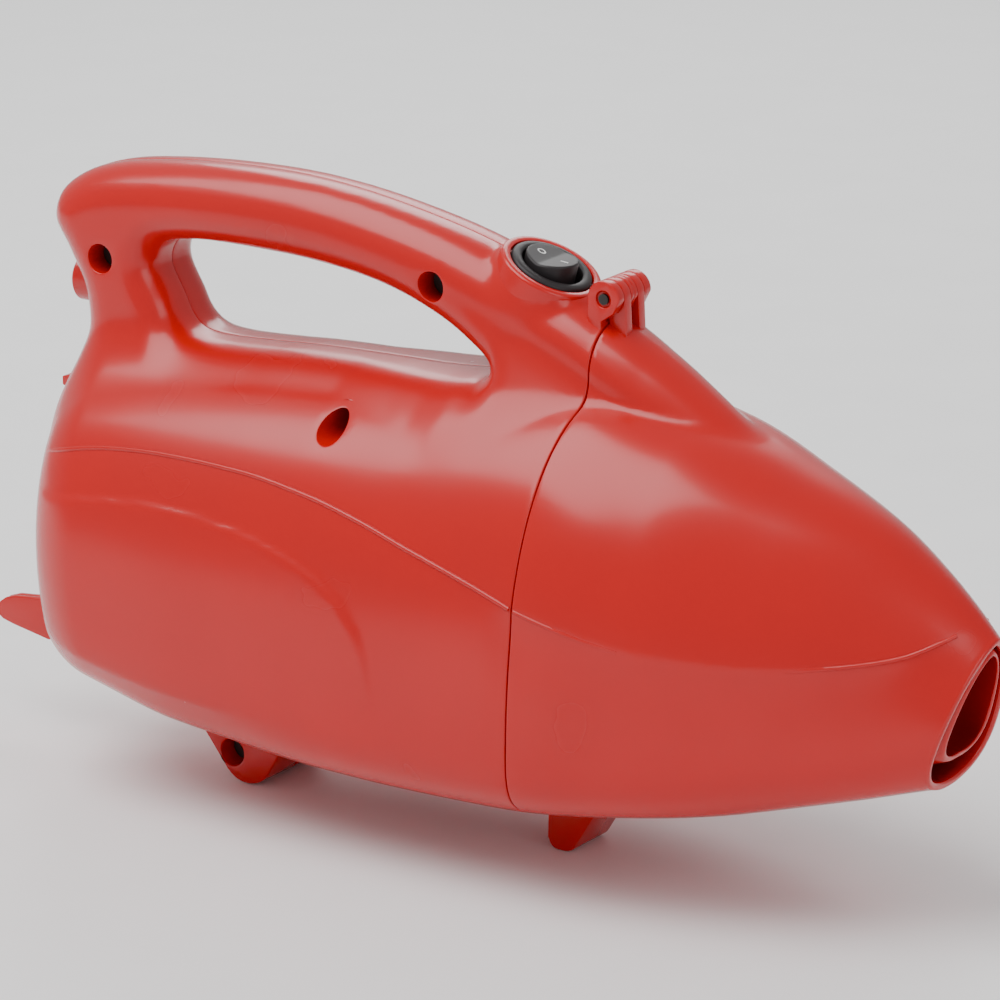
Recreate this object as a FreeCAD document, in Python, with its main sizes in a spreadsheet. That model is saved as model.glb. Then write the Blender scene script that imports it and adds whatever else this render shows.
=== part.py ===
import FreeCAD, Part
import math
import os
import Sketcher
from FreeCAD import Placement, Rotation, Vector

# Handheld blower and vacuum. Millimetres, +X towards the nozzle, +Z up, feet on z = 0,
# the two casing halves meet on y = 0 and the right half is on the -Y side.
# The order is: driving dimensions, helpers, outer form, moulded shells, then the pieces.

doc = FreeCAD.newDocument("blower")

# ---------------------------------------------------------------- driving dimensions
DIMENSIONS = {
    "wall": 2.4, "gap": 0.3, "seam_x": 49.0, "parting_gap": 0.05,
    "axis_z": 72.0,
    "back_x": -137.5, "back_centre_z": 68.0, "back_long": 200.0, "back_wide": 98.0, "back_high": 138.0,
    "grip_round": 6.5,
    "mouth_top_x": 167.5, "mouth_top_z": 83.0, "mouth_lean": 17.5, "inlet_gap": 2.2, "inlet_wall": 1.6,
    "inlet_depth": 55.0,
    "hinge_x": 49.5, "hinge_z": 159.0, "knuckle_radius": 5.0, "hinge_pin_radius": 1.5, "knuckle_width": 3.0,
    "pin_clearance": 0.05,
    "tongue_width": 18.0, "tongue_thick": 2.4, "tongue_gap": 0.5, "tab_x": 33.0, "tab_thick": 9.0,
    "foot_x": -67.0, "foot_half_width": 14.0, "foot_radius": 9.0,
    "tail_thick": 4.0,
    "switch_x": 28.2, "switch_z": 164.0, "switch_tilt": 25.5, "collar_radius": 14.6, "bezel_radius": 11.6,
    "bezel_thick": 2.0, "switch_radius": 10.0, "switch_depth": 19.0, "pocket_radius": 8.7, "pocket_depth": 12.0,
    "rocker_radius": 7.4, "rocker_pivot": 4.0, "rocker_throw": 10.0, "rocker_pin_radius": 1.2,
    "screw_head_radius": 3.4, "screw_head_thick": 2.4, "screw_radius": 1.6, "counterbore_radius": 4.0,
    "boss_radius": 5.4,
    "shaft_radius": 4.0, "shaft_length": 122.0, "shaft_start": -93.0,
    "armature_radius": 16.8, "stack_length": 36.0, "stack_start": -54.0, "air_gap": 0.6, "field_radius": 31.0,
    "commutator_radius": 10.5, "commutator_length": 14.0, "commutator_start": -78.0,
    "bearing_radius": 11.0, "bearing_width": 7.0,
    "impeller_radius": 41.0, "impeller_width": 11.0, "impeller_start": 9.0, "impeller_blades": 9, "disc_thick": 1.0,
    "shroud_radius": 45.0, "shroud_depth": 22.0, "shroud_start": 1.5, "eye_radius": 16.0, "sheet_metal": 1.0,
    "outlet_radius": 17.5, "outlet_wall": 2.2, "outlet_end": -136.0, "grille_radius": 19.5,
    "gland_x": -132.5, "gland_z": 137.5, "gland_bore": 3.2, "gland_radius": 4.4, "gland_flange": 5.4,
    "gland_length": 12.0,
    "lead_radius": 1.0,
}
dims = doc.addObject("Spreadsheet::Sheet", "dims")
for row, (alias, value) in enumerate(DIMENSIONS.items(), start=1):
    dims.set(f"A{row}", alias)
    dims.set(f"B{row}", str(value))
    dims.setAlias(f"B{row}", alias)
doc.recompute()


def dim(alias):
    """The number in a cell of the sheet."""
    return float(getattr(dims, alias))


WALL = dim("wall")
SEAM = dim("seam_x")
AXIS = dim("axis_z")
SIDE_Y = 60.0            # beyond the widest point of the casing
FAR = 400.0              # size of a cutting block


# ---------------------------------------------------------------- small helpers
NODES = {}


def keep(label, obj):
    """Register a finished sub-part under the label that names its file."""
    obj.Label = label
    NODES[label] = obj
    return obj


def bind(obj, **sizes):
    """Tie properties of an object to expressions over the sheet."""
    for prop, expression in sizes.items():
        obj.setExpression(prop, expression)
    return obj


def along_x(x, y=0.0, z=0.0):
    """Placement that turns a primitive's +Z to +X."""
    return Placement(Vector(x, y, z), Rotation(Vector(0, 1, 0), 90))


def along_y(x, y, z):
    """Placement that turns a primitive's +Z to +Y."""
    return Placement(Vector(x, y, z), Rotation(Vector(1, 0, 0), -90))


def cylinder(name, radius, height, placement):
    obj = doc.addObject("Part::Cylinder", name)
    bind(obj, Radius=radius, Height=height)
    obj.Placement = placement
    return obj


def block(name, length, width, height, placement):
    obj = doc.addObject("Part::Box", name)
    bind(obj, Length=length, Width=width, Height=height)
    obj.Placement = placement
    return obj


def cut(name, base, tool):
    obj = doc.addObject("Part::Cut", name)
    obj.Base = base
    obj.Tool = tool
    return obj


def fuse(name, *pieces):
    obj = doc.addObject("Part::MultiFuse", name)
    obj.Shapes = list(pieces)
    return obj


def group(name, *pieces):
    """Several separate solids as one compound."""
    obj = doc.addObject("Part::Compound", name)
    obj.Links = list(pieces)
    return obj


def sketch(body, name, role, outline):
    """A closed polygon on an origin plane. Each corner is a pair of expressions; 0 pins it to the axis."""
    sk = body.newObject("Sketcher::SketchObject", name)
    plane = next(f for f in body.Origin.OriginFeatures if f.Role == role)
    sk.AttachmentSupport = [(plane, "")]
    sk.MapMode = "FlatFace"
    values = [[evaluate(c) for c in corner] for corner in outline]
    count = len(outline)
    for i in range(count):
        a, b = values[i], values[(i + 1) % count]
        sk.addGeometry(Part.LineSegment(Vector(*a, 0), Vector(*b, 0)), False)
    for i in range(count):
        sk.addConstraint(Sketcher.Constraint("Coincident", i, 2, (i + 1) % count, 1))
    for i, corner in enumerate(outline):
        for kind, axis, expression, value in zip(("DistanceX", "DistanceY"), (-2, -1), corner, values[i]):
            if value == 0.0:
                sk.addConstraint(Sketcher.Constraint("PointOnObject", i, 1, axis))
            else:
                index = sk.addConstraint(Sketcher.Constraint(kind, -1, 1, i, 1, value))
                sk.setExpression(f"Constraints[{index}]", str(expression))
    return sk


def evaluate(expression):
    """The value of an expression over the sheet's cells, or of a plain number."""
    if isinstance(expression, (int, float)):
        return float(expression)
    probe = doc.getObject("probe") or doc.addObject("Part::Feature", "probe")
    result = probe.evalExpression(expression)
    return float(getattr(result, "Value", result))


def turned(label, start, outline, z=None):
    """A body revolved about +X; outline corners are (distance along X from start, radius)."""
    body = doc.addObject("PartDesign::Body", label)
    sk = sketch(body, label + "_profile", "XY_Plane", outline)
    turn = body.newObject("PartDesign::Revolution", label + "_turn")
    turn.Profile = sk
    turn.ReferenceAxis = (sk, ["H_Axis"])
    turn.Angle = 360
    body.Placement = Placement(Vector(start, 0, AXIS if z is None else z), Rotation())
    return body


def feature(name, shape):
    obj = doc.addObject("Part::Feature", name)
    obj.Shape = shape
    return obj


def box(x0, x1, y0, y1, z0, z1):
    return Part.makeBox(x1 - x0, y1 - y0, z1 - z0, Vector(x0, y0, z0))


def rod(radius, start, end):
    """A solid cylinder between two points."""
    axis = end - start
    return Part.makeCylinder(radius, axis.Length, start, axis)


# ---------------------------------------------------------------- outer form
def table(*pairs):
    """A smooth curve through (x, value) pairs that never overshoots them."""
    xs, ys = zip(*pairs)
    steps = [b - a for a, b in zip(xs, xs[1:])]
    slopes = [(b - a) / w for a, b, w in zip(ys, ys[1:], steps)]
    ends = [slopes[0]]
    for i in range(1, len(xs) - 1):
        left, right = slopes[i - 1], slopes[i]
        w1, w2 = 2 * steps[i] + steps[i - 1], steps[i] + 2 * steps[i - 1]
        ends.append(0.0 if left * right <= 0 else (w1 + w2) / (w1 / left + w2 / right))
    ends.append(slopes[-1])

    def value(x):
        x = min(max(x, xs[0]), xs[-1])
        i = max(k for k in range(len(steps)) if xs[k] <= x)
        t = (x - xs[i]) / steps[i]
        return (ys[i] * (1 + 2 * t) * (1 - t) ** 2 + steps[i] * ends[i] * t * (1 - t) ** 2
                + ys[i + 1] * t * t * (3 - 2 * t) + steps[i] * ends[i + 1] * t * t * (t - 1))
    return value


crown = table((-145, 105), (-125, 114.5), (-110, 120), (-60, 125.5), (0, 129), (49, 134), (80, 129.6), (112, 118.8),
              (135, 108.9), (150, 99), (160, 90.5), (172, 78))
belly = table((-145, 37), (-97, 25.8), (-72, 21.3), (-38, 19.6), (0, 19), (37, 20), (68, 22.8), (97, 26.4),
              (123, 32), (148, 38.4), (172, 46))
half_width = table((-145, 45), (-110, 49), (-60, 53), (0, 54.6), (49, 54.5), (80, 50), (110, 40), (135, 29),
                   (152, 20.5), (172, 12))
waist = table((-145, 60), (-60, 52), (49, 48), (100, 50), (135, 52), (150, 56), (172, 60))
crown_power = table((-145, 2.3), (49, 2.35), (110, 2.1), (150, 1.8), (172, 1.5))
belly_power = table((-145, 3.4), (0, 4), (49, 4), (90, 3.4), (130, 2.6), (172, 2.1))
fin_top = table((16, 165.6), (30, 161), (52, 151.3), (66.6, 143.6), (81.4, 134), (94, 125.2), (104, 117), (112, 109))
fin_width = table((16, 15.2), (49, 14.5), (75, 12), (95, 8), (112, 4))
fin_flare = table((16, 0.3), (25, 0.6), (49, 0.78), (112, 0.8))
POWER_STEPS = 28
BARREL_STATIONS = (-150, -125, -97, -60, -20, 20, 49, 75, 97, 112, 124, 135, 148, 160, 172)
FIN_STATIONS = (17, 30, 49, 66, 81, 94, 104, 111)


def smooth_wire(points):
    curve = Part.BSplineCurve()
    curve.interpolate(points, True)
    return Part.Wire(curve.toShape())


def barrel_wire(x, offset):
    """Cross-section of the barrel: a superellipse with its own power above and below the waist."""
    a = half_width(x) - offset
    middle = waist(x)
    points = []
    for i in range(POWER_STEPS):
        angle = 2 * math.pi * i / POWER_STEPS - math.pi / 2
        up = math.sin(angle) > 0
        height = crown(x) - offset - middle if up else middle - belly(x) - offset
        power = 2 / (crown_power(x) if up else belly_power(x))
        y = math.copysign(abs(math.cos(angle)) ** power, math.cos(angle)) * a
        z = math.copysign(abs(math.sin(angle)) ** power, math.sin(angle)) * height
        points.append(Vector(x, y, middle + z))
    return smooth_wire(points)


def back_patch(offset):
    """The domed back surface as one patch over the barrel's width and height."""
    long, wide, high = (dim(a) - offset for a in ("back_long", "back_wide", "back_high"))
    centre_x, centre_z = dim("back_x") + dim("back_long"), dim("back_centre_z")
    grid = [[Vector(centre_x - long * math.sqrt(1 - (y / wide) ** 2 - ((z - centre_z) / high) ** 2), y, z)
             for y in range(-63, 64, 14)] for z in range(-2, 159, 16)]
    patch = Part.BSplineSurface()
    patch.interpolate(grid)
    return patch.toShape()


def barrel(offset):
    """The barrel as a loft, closed at the back by a wide dome."""
    body = Part.makeLoft([barrel_wire(x, offset) for x in BARREL_STATIONS], True, False)
    dome = back_patch(offset).extrude(Vector(FAR, 0, 0))
    return body.common(dome)


GRIP_OUTER = ((-129.5, 100), (-127, 118), (-125.5, 128), (-126.8, 137), (-132, 147), (-137, 156), (-135, 164),
              (-127.5, 169.8), (-117, 173.4), (-100, 176), (-80, 177.6), (-56, 178), (-36, 176.5), (-15, 173.2),
              (5, 168.8), (30, 161))
GRIP_HOLE = ((-91, 127.5), (-96, 137), (-101, 147), (-98.5, 153), (-90, 155.6), (-60, 156.4), (-40, 155.4),
             (-20, 152.6), (-5, 148.2), (8, 142.4), (17, 136), (15.5, 131), (5, 129), (-20, 128.6), (-50, 127.6),
             (-82, 125))
GRIP_HALF_WIDTH = 14.8
GRIP_FLOOR = 96.0        # the grip's block runs this low inside the barrel


def offset_curve(points, distance, closed):
    """The points moved to their left by a distance."""
    count = len(points)
    moved = []
    for i, (x, z) in enumerate(points):
        before = points[i - 1] if closed or i else points[0]
        after = points[(i + 1) % count] if closed or i < count - 1 else points[-1]
        dx, dz = after[0] - before[0], after[1] - before[1]
        size = math.hypot(dx, dz)
        moved.append((x - dz / size * distance, z + dx / size * distance))
    return moved


def flat_edge(points, closed):
    curve = Part.BSplineCurve()
    curve.interpolate([Vector(x, 0, z) for x, z in points], closed)
    return curve.toShape()


def grip(offset):
    """The handle loop: a side outline with its finger hole, extruded and rounded along both sides."""
    outer = offset_curve(GRIP_OUTER, -offset, False)
    back, front = outer[0], outer[-1]
    corners = [Vector(front[0], 0, front[1]), Vector(front[0], 0, GRIP_FLOOR), Vector(back[0], 0, GRIP_FLOOR),
               Vector(back[0], 0, back[1])]
    edges = [flat_edge(outer, False)] + [Part.makeLine(a, b) for a, b in zip(corners, corners[1:])]
    hole = Part.Wire(flat_edge(offset_curve(GRIP_HOLE, offset, True), True))
    half = GRIP_HALF_WIDTH - offset
    face = Part.Face(Part.Wire(Part.__sortEdges__(edges))).cut(Part.Face(hole))
    face.translate(Vector(0, -half, 0))
    solid = face.extrude(Vector(0, 2 * half, 0))
    if solid.ShapeType != "Solid":
        solid = solid.Solids[0]
    radius = dim("grip_round") - offset / 2
    rims = [e for e in solid.Edges if e.Curve.TypeId == "Part::GeomBSplineCurve"
            and abs(abs(e.BoundBox.YMin) - half) < 0.01 and e.BoundBox.YLength < 0.01]
    return solid.makeFillet(radius, rims)


def fin_wire(x, offset):
    """Cross-section of the raised spine in front of the grip: round on top, flared at its foot."""
    top = fin_top(x) - offset
    width = fin_width(x) - offset
    tip = min(width, 12.0) - 0.5
    side = []
    for depth in (0.35, 1.5, 4, 8, 12, 17, 24, 33, 44, 56):
        inner = width - tip + math.sqrt(max(tip ** 2 - max(tip - depth, 0) ** 2, 0))
        low = max(depth - 13, 0)
        side.append((min(inner + fin_flare(x) * low * low / (low + 6), half_width(x) - 7 - offset), top - depth))
    points = [Vector(x, 0, top)] + [Vector(x, y, z) for y, z in side]
    points += [Vector(x, 0, top - 58)] + [Vector(x, -y, z) for y, z in reversed(side)]
    return smooth_wire(points)


def fin(offset):
    return Part.makeLoft([fin_wire(x, offset) for x in FIN_STATIONS], True, False)


def whole_form(offset):
    """The outside of the casing and cover together, moved inwards by an offset."""
    return barrel(offset).fuse(grip(offset)).fuse(fin(offset))


def disc(radius, x0, x1, z=None):
    """A solid cylinder along X."""
    height = AXIS if z is None else z
    return rod(radius, Vector(x0, 0, height), Vector(x1, 0, height))


def prism(outline, y0, y1):
    """A straight-edged outline in the x-z plane, extruded from y0 to y1."""
    corners = [Vector(x, y0, z) for x, z in outline]
    face = Part.Face(Part.makePolygon(corners + corners[:1]))
    return face.extrude(Vector(0, y1 - y0, 0))


def switch_frame(height=0.0, tilt=0.0):
    """Placement on the switch's top face: +Z out of the face, +X down its slope."""
    base = Placement(Vector(dim("switch_x"), 0, dim("switch_z")), Rotation(Vector(0, 1, 0), dim("switch_tilt")))
    return base.multiply(Placement(Vector(0, 0, height), Rotation(Vector(0, 1, 0), tilt)))


def on_switch(radius, low, high):
    """A cylinder about the switch's axis, between two heights over its top face."""
    shape = Part.makeCylinder(radius, high - low, Vector(0, 0, low))
    shape.Placement = switch_frame()
    return shape


outer_form = whole_form(0.0)
inner_form = whole_form(WALL)


# ---------------------------------------------------------------- moulded shells
SCREWS = ((-115.6, 147.8), (-1.8, 156.4), (-23.0, 117.3), (-72.0, 8.5))
SCREW_SEAT = -6.0        # y of the face each screw head bears on
HINGE_X, HINGE_Z = dim("hinge_x"), dim("hinge_z")
KNUCKLE, LEAF, GAP = dim("knuckle_radius"), dim("knuckle_width"), dim("gap")
CASING_LEAVES = (-2, 0, 2)
COVER_LEAVES = (-1, 1)
FRONT_RIB = 23.5         # the fan shroud seats against this rib
MIDDLE_RIB = -9.5
REAR_RIB = -99.0
RIB = 2.4
GRILLE_X = -121.0


def leaf(index, web_outline):
    """One hinge knuckle with its web, centred at a multiple of the leaf pitch."""
    middle = index * (LEAF + GAP)
    low, high = middle - LEAF / 2, middle + LEAF / 2
    ring = rod(KNUCKLE, Vector(HINGE_X, low, HINGE_Z), Vector(HINGE_X, high, HINGE_Z))
    return ring.fuse(prism(web_outline, low, high))


def ribs_and_bosses():
    """Everything that stands inside the casing's hollow."""
    pieces = [box(FRONT_RIB, FRONT_RIB + RIB, -SIDE_Y, SIDE_Y, 0, 200).cut(disc(38, FRONT_RIB - 1, 30)),
              box(MIDDLE_RIB, MIDDLE_RIB + RIB, -SIDE_Y, SIDE_Y, 0, 130).cut(disc(41, MIDDLE_RIB - 1, 0))]
    rear = box(REAR_RIB, REAR_RIB + RIB, -SIDE_Y, SIDE_Y, 0, 108).cut(disc(15.2, REAR_RIB - 1, REAR_RIB + 4))
    for turn in range(6):
        angle = math.radians(60 * turn)
        centre = Vector(REAR_RIB - 1, 27 * math.cos(angle), AXIS + 27 * math.sin(angle))
        rear = rear.cut(rod(9, centre, centre + Vector(RIB + 3, 0, 0)))
    pieces.append(rear)
    outlet_tube = disc(dim("outlet_radius") + dim("outlet_wall"), dim("outlet_end") + 0.5, GRILLE_X)
    grille_seat = disc(dim("grille_radius") + 2.5, GRILLE_X - 1.6, GRILLE_X + 4.8)
    grille_seat = grille_seat.cut(disc(dim("outlet_radius") + 1, GRILLE_X, GRILLE_X + 6))
    grille_seat = grille_seat.cut(disc(dim("grille_radius") + 0.2, GRILLE_X, GRILLE_X + 2.8))
    pieces += [outlet_tube, grille_seat]
    for x, z in SCREWS:
        pieces.append(rod(dim("boss_radius"), Vector(x, -SIDE_Y, z), Vector(x, SIDE_Y, z)))
    pieces.append(on_switch(13.4, -16, 0))
    return pieces


def casing_outside():
    """Collar, foot, tail, outlet ring and hinge leaves that stand out from the casing."""
    collar = on_switch(dim("collar_radius"), -20, -0.6)
    foot = prism(((-92, 27), (-76, 3.8), (-58.6, 3.6), (-45, 25)), -dim("foot_half_width"), dim("foot_half_width"))
    foot = foot.fuse(rod(dim("foot_radius"), Vector(dim("foot_x"), -dim("foot_half_width"), dim("foot_radius")),
                         Vector(dim("foot_x"), dim("foot_half_width"), dim("foot_radius"))))
    half_tail = dim("tail_thick") / 2
    tail = prism(((-126, 37.5), (-150, 37.2), (-164, 35.4), (-167.5, 31.6), (-165, 28.2), (-148, 24.8), (-126, 31)),
                 -half_tail, half_tail)
    ring = disc(dim("outlet_radius") + dim("outlet_wall"), dim("outlet_end"), GRILLE_X + 2)
    catch = prism(((-140, 104), (-140, 107.5), (-120, 112), (-120, 98)), -3, 3)
    gland_pad = disc(7, -129.2, -120, dim("gland_z"))
    edge = SEAM - GAP / 2 - 0.05
    web = ((HINGE_X - 5, 146), (HINGE_X - 5, HINGE_Z), (HINGE_X, HINGE_Z), (edge, 153.6), (edge, 146))
    leaves = [leaf(i, web) for i in CASING_LEAVES]
    return [collar, foot, tail, ring, catch, gland_pad] + leaves


def casing_holes():
    holes = [disc(dim("outlet_radius"), dim("outlet_end") - 4, GRILLE_X + 0.1),
             disc(dim("gland_radius") + 0.05, -140, -110, dim("gland_z")),
             on_switch(dim("bezel_radius") + 0.3, -2.3, 5), on_switch(dim("switch_radius") + 0.2, -40, 5),
             rod(dim("hinge_pin_radius") + dim("pin_clearance"), Vector(HINGE_X, -20, HINGE_Z),
                 Vector(HINGE_X, 20, HINGE_Z))]
    for index in COVER_LEAVES:
        middle = index * (LEAF + GAP)
        holes.append(rod(KNUCKLE + GAP, Vector(HINGE_X, middle - LEAF / 2 - GAP, HINGE_Z),
                         Vector(HINGE_X, middle + LEAF / 2 + GAP, HINGE_Z)))
    for x, z in SCREWS:
        holes.append(rod(dim("counterbore_radius"), Vector(x, -SIDE_Y, z), Vector(x, SCREW_SEAT, z)))
        holes.append(rod(dim("screw_radius") + 0.05, Vector(x, SCREW_SEAT - 1, z), Vector(x, 9.0, z)))
    return holes


def add_all(base, pieces):
    for piece in pieces:
        base = base.fuse(piece)
    return base


def remove_all(base, pieces):
    for piece in pieces:
        base = base.cut(piece)
    return base


casing_hollow = remove_all(inner_form.common(box(-FAR, SEAM + 1, -SIDE_Y, SIDE_Y, 0, 200)), ribs_and_bosses())
casing = outer_form.common(box(-FAR, SEAM - GAP / 2, -SIDE_Y, SIDE_Y, 0, 200))
casing = add_all(casing, casing_outside()).common(box(-FAR, SEAM + 8, -SIDE_Y, SIDE_Y, 0, 200))
casing = remove_all(casing.cut(casing_hollow), casing_holes())
PARTING = dim("parting_gap")
keep("casing_right", feature("casing_right", casing.common(box(-FAR, FAR, -FAR, -PARTING, -5, 300))))
keep("casing_left", feature("casing_left", casing.common(box(-FAR, FAR, PARTING, FAR, -5, 300))))


def mouth_block(inset):
    """A cutting block in front of the slanted mouth, moved back by an inset."""
    block_shape = Part.makeBox(80, 2 * SIDE_Y, 200, Vector(-inset, -SIDE_Y, -120))
    block_shape.Placement = Placement(Vector(dim("mouth_top_x"), 0, dim("mouth_top_z")),
                                      Rotation(Vector(0, 1, 0), dim("mouth_lean")))
    return block_shape


TUBE_BACK, TUBE_WIDEST = 112.0, 148.0


def tube_form(offset):
    """The inlet tube follows the mouth's own section and keeps it behind the widest station."""
    wires = []
    for x in (TUBE_BACK, 130.0, TUBE_WIDEST, 160.0, 171.0):
        wire = barrel_wire(max(x, TUBE_WIDEST), offset)
        wire.translate(Vector(x - max(x, TUBE_WIDEST), 0, 0))
        wires.append(wire)
    return Part.makeLoft(wires, True, False)


TUBE_OUT = WALL + dim("inlet_gap")
TUBE_IN = TUBE_OUT + dim("inlet_wall")
NOSE_RIB = 116.0
inlet_tube = tube_form(TUBE_OUT).cut(tube_form(TUBE_IN)).cut(mouth_block(2.5))
keep("inlet_tube", feature("inlet_tube", inlet_tube))


def cover_tongue():
    """The spring tongue under the casing, with the finger tab that is also the front foot."""
    half = dim("tongue_width") / 2
    top = belly(dim("tab_x")) - dim("tongue_gap")
    back, low = dim("tab_x"), top - dim("tongue_thick")
    outline = ((back, top), (SEAM + 0.6, top), (SEAM + 0.6, 22.5), (64, 24.5), (60, low), (52, low),
               (back + dim("tab_thick"), 3), (back + dim("tab_thick") - 3, 0), (back + 3, 0), (back, 3))
    return prism(outline, -half, half)


cover_hollow = inner_form.common(box(SEAM - 1, FAR, -SIDE_Y, SIDE_Y, 0, 200))
tube_seat = box(NOSE_RIB, NOSE_RIB + RIB, -SIDE_Y, SIDE_Y, 0, 200).cut(tube_form(TUBE_OUT - 0.02))
cover_hollow = cover_hollow.cut(tube_seat)
cover_web = ((HINGE_X, HINGE_Z), (HINGE_X + 5, HINGE_Z), (HINGE_X + 6, 145), (SEAM + 0.2, 145), (SEAM + 0.2, 153.6))
cover = outer_form.common(box(SEAM + GAP / 2, FAR, -SIDE_Y, SIDE_Y, 0, 200))
cover = add_all(cover, [leaf(i, cover_web) for i in COVER_LEAVES])
cover = remove_all(cover.cut(cover_hollow), [mouth_block(0.0)])
for index in CASING_LEAVES:
    middle = index * (LEAF + GAP)
    cover = cover.cut(rod(KNUCKLE + GAP, Vector(HINGE_X, middle - LEAF / 2 - GAP, HINGE_Z),
                          Vector(HINGE_X, middle + LEAF / 2 + GAP, HINGE_Z)))
cover = cover.fuse(cover_tongue())
cover = cover.cut(rod(dim("hinge_pin_radius") + dim("pin_clearance"), Vector(HINGE_X, -20, HINGE_Z),
                      Vector(HINGE_X, 20, HINGE_Z)))
keep("front_cover", feature("front_cover", cover))

# ---------------------------------------------------------------- hinge pin and screws
hinge_pin = cylinder("hinge_pin", "dims.hinge_pin_radius", "dims.knuckle_width * 5 + dims.gap * 4",
                     along_y(HINGE_X, -(5 * LEAF + 4 * GAP) / 2, HINGE_Z))
keep("hinge_pin", hinge_pin)


def screw(index, x, z):
    """A pan-head screw driven towards the left half."""
    head = cylinder(f"screw_head_{index}", "dims.screw_head_radius", "dims.screw_head_thick",
                    along_y(x, SCREW_SEAT - dim("screw_head_thick"), z))
    shank = cylinder(f"screw_shank_{index}", "dims.screw_radius", "14", along_y(x, SCREW_SEAT, z))
    recess = cylinder(f"screw_recess_{index}", "1.0", "1.4", along_y(x, SCREW_SEAT - dim("screw_head_thick"), z))
    return cut(f"screw_{index}", fuse(f"screw_blank_{index}", head, shank), recess)


keep("casing_screws", group("casing_screws", *[screw(i, x, z) for i, (x, z) in enumerate(SCREWS, start=1)]))


# ---------------------------------------------------------------- switch
def on_face(obj, height=0.0, tilt=0.0):
    obj.Placement = switch_frame(height, tilt)
    return obj


def switch_housing():
    """Round bezel on a round body, open on top for the rocker."""
    bezel = on_face(cylinder("switch_bezel", "dims.bezel_radius", "dims.bezel_thick", Placement()), -dim("bezel_thick"))
    body = on_face(cylinder("switch_barrel", "dims.switch_radius", "dims.switch_depth", Placement()),
                   -dim("bezel_thick") - dim("switch_depth"))
    pocket = on_face(cylinder("switch_pocket", "dims.pocket_radius", "dims.pocket_depth + 1", Placement()),
                     -dim("pocket_depth"))
    hollow = cut("switch_hollow", fuse("switch_blank", bezel, body), pocket)
    half = dim("pocket_radius") + 0.6
    axle_hole = cylinder("switch_axle_hole", "dims.rocker_pin_radius + dims.pin_clearance",
                         "2 * dims.pocket_radius + 1.2", Placement())
    axle_hole.Placement = switch_frame(-dim("rocker_pivot")).multiply(along_y(0, -half, 0))
    return cut("switch_body", hollow, axle_hole)


def rocker_shape():
    """A round rocker on its own axle: two shallow faces that meet over the pivot."""
    throw, pivot = dim("rocker_throw"), dim("rocker_pivot")
    drum = cylinder("rocker_drum", "dims.rocker_radius", "13", Placement())
    drum.Placement = switch_frame(-pivot, -throw).multiply(Placement(Vector(0, 0, -4.5), Rotation()))
    cutters = []
    for side in (-1, 1):
        wedge = doc.addObject("Part::Box", f"rocker_wedge_{side + 1}")
        bind(wedge, Length="dims.rocker_radius + 6", Width="30", Height="8")
        x_start = 0.0 if side > 0 else -(dim("rocker_radius") + 6)
        top = Placement(Vector(0, 0, pivot + 1.3), Rotation(Vector(0, 1, 0), -side * throw))
        wedge.Placement = switch_frame(-pivot, -throw).multiply(top).multiply(
            Placement(Vector(x_start, -15, 0), Rotation()))
        cutters.append(wedge)
    axle = cylinder("rocker_axle", "dims.rocker_pin_radius", "2 * dims.pocket_radius + 1", Placement())
    axle.Placement = switch_frame(-pivot).multiply(along_y(0, -dim("pocket_radius") - 0.5, 0))
    shaped = cut("rocker_front_cut", cut("rocker_rear_cut", drum, cutters[0]), cutters[1])
    return fuse("switch_rocker", shaped, axle)


def switch_tab(index, x):
    """A flat blade terminal under the switch body."""
    tab = block(f"switch_tab_{index}", "0.8", "4.8", "6.5", Placement())
    foot = -dim("bezel_thick") - dim("switch_depth") - 6.5
    tab.Placement = switch_frame(foot).multiply(Placement(Vector(x - 0.4, -2.4, 0), Rotation()))
    return tab


keep("switch_body", switch_housing())
keep("switch_rocker", rocker_shape())
keep("switch_terminals", group("switch_terminals", switch_tab(1, -4.0), switch_tab(2, 4.0)))


# ---------------------------------------------------------------- motor
def stack_x(offset=0.0):
    return dim("stack_start") + offset


STACK = dim("stack_length")
BORE = "dims.armature_radius + dims.air_gap"
SHAFT_HOLE = "dims.shaft_radius + 0.01"
keep("motor_shaft", turned("motor_shaft", dim("shaft_start"), [
    (0, 0), (0, 3), (9, 3), (9, "dims.shaft_radius"), ("dims.shaft_length - 13", "dims.shaft_radius"),
    ("dims.shaft_length - 13", 3), ("dims.shaft_length", 3), ("dims.shaft_length", 0)]))


def armature_core():
    """A laminated drum with open slots along it."""
    drum = turned("armature_drum", stack_x(), [
        (0, SHAFT_HOLE), (0, "dims.armature_radius"), ("dims.stack_length", "dims.armature_radius"),
        ("dims.stack_length", SHAFT_HOLE)])
    slots = []
    for i in range(12):
        slot = block(f"armature_slot_{i}", "dims.stack_length + 2", "2", "7", Placement())
        spin = Placement(Vector(stack_x(-1), 0, AXIS), Rotation(Vector(1, 0, 0), 30 * i))
        slot.Placement = spin.multiply(Placement(Vector(0, -1, 11), Rotation()))
        slots.append(slot)
    return cut("armature_core", drum, fuse("armature_slots", *slots))


def winding_head(name, start):
    """The crowned end turns of the armature winding."""
    return turned(name, start, [(0, 5), (0, 13.5), (1.5, 15.5), (5, 15.5), (6.5, 13.5), (6.5, 5)])


keep("armature_core", armature_core())
keep("armature_windings", group("armature_windings", winding_head("winding_front", stack_x(STACK + 0.1)),
                                winding_head("winding_rear", stack_x(-6.6))))


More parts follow.
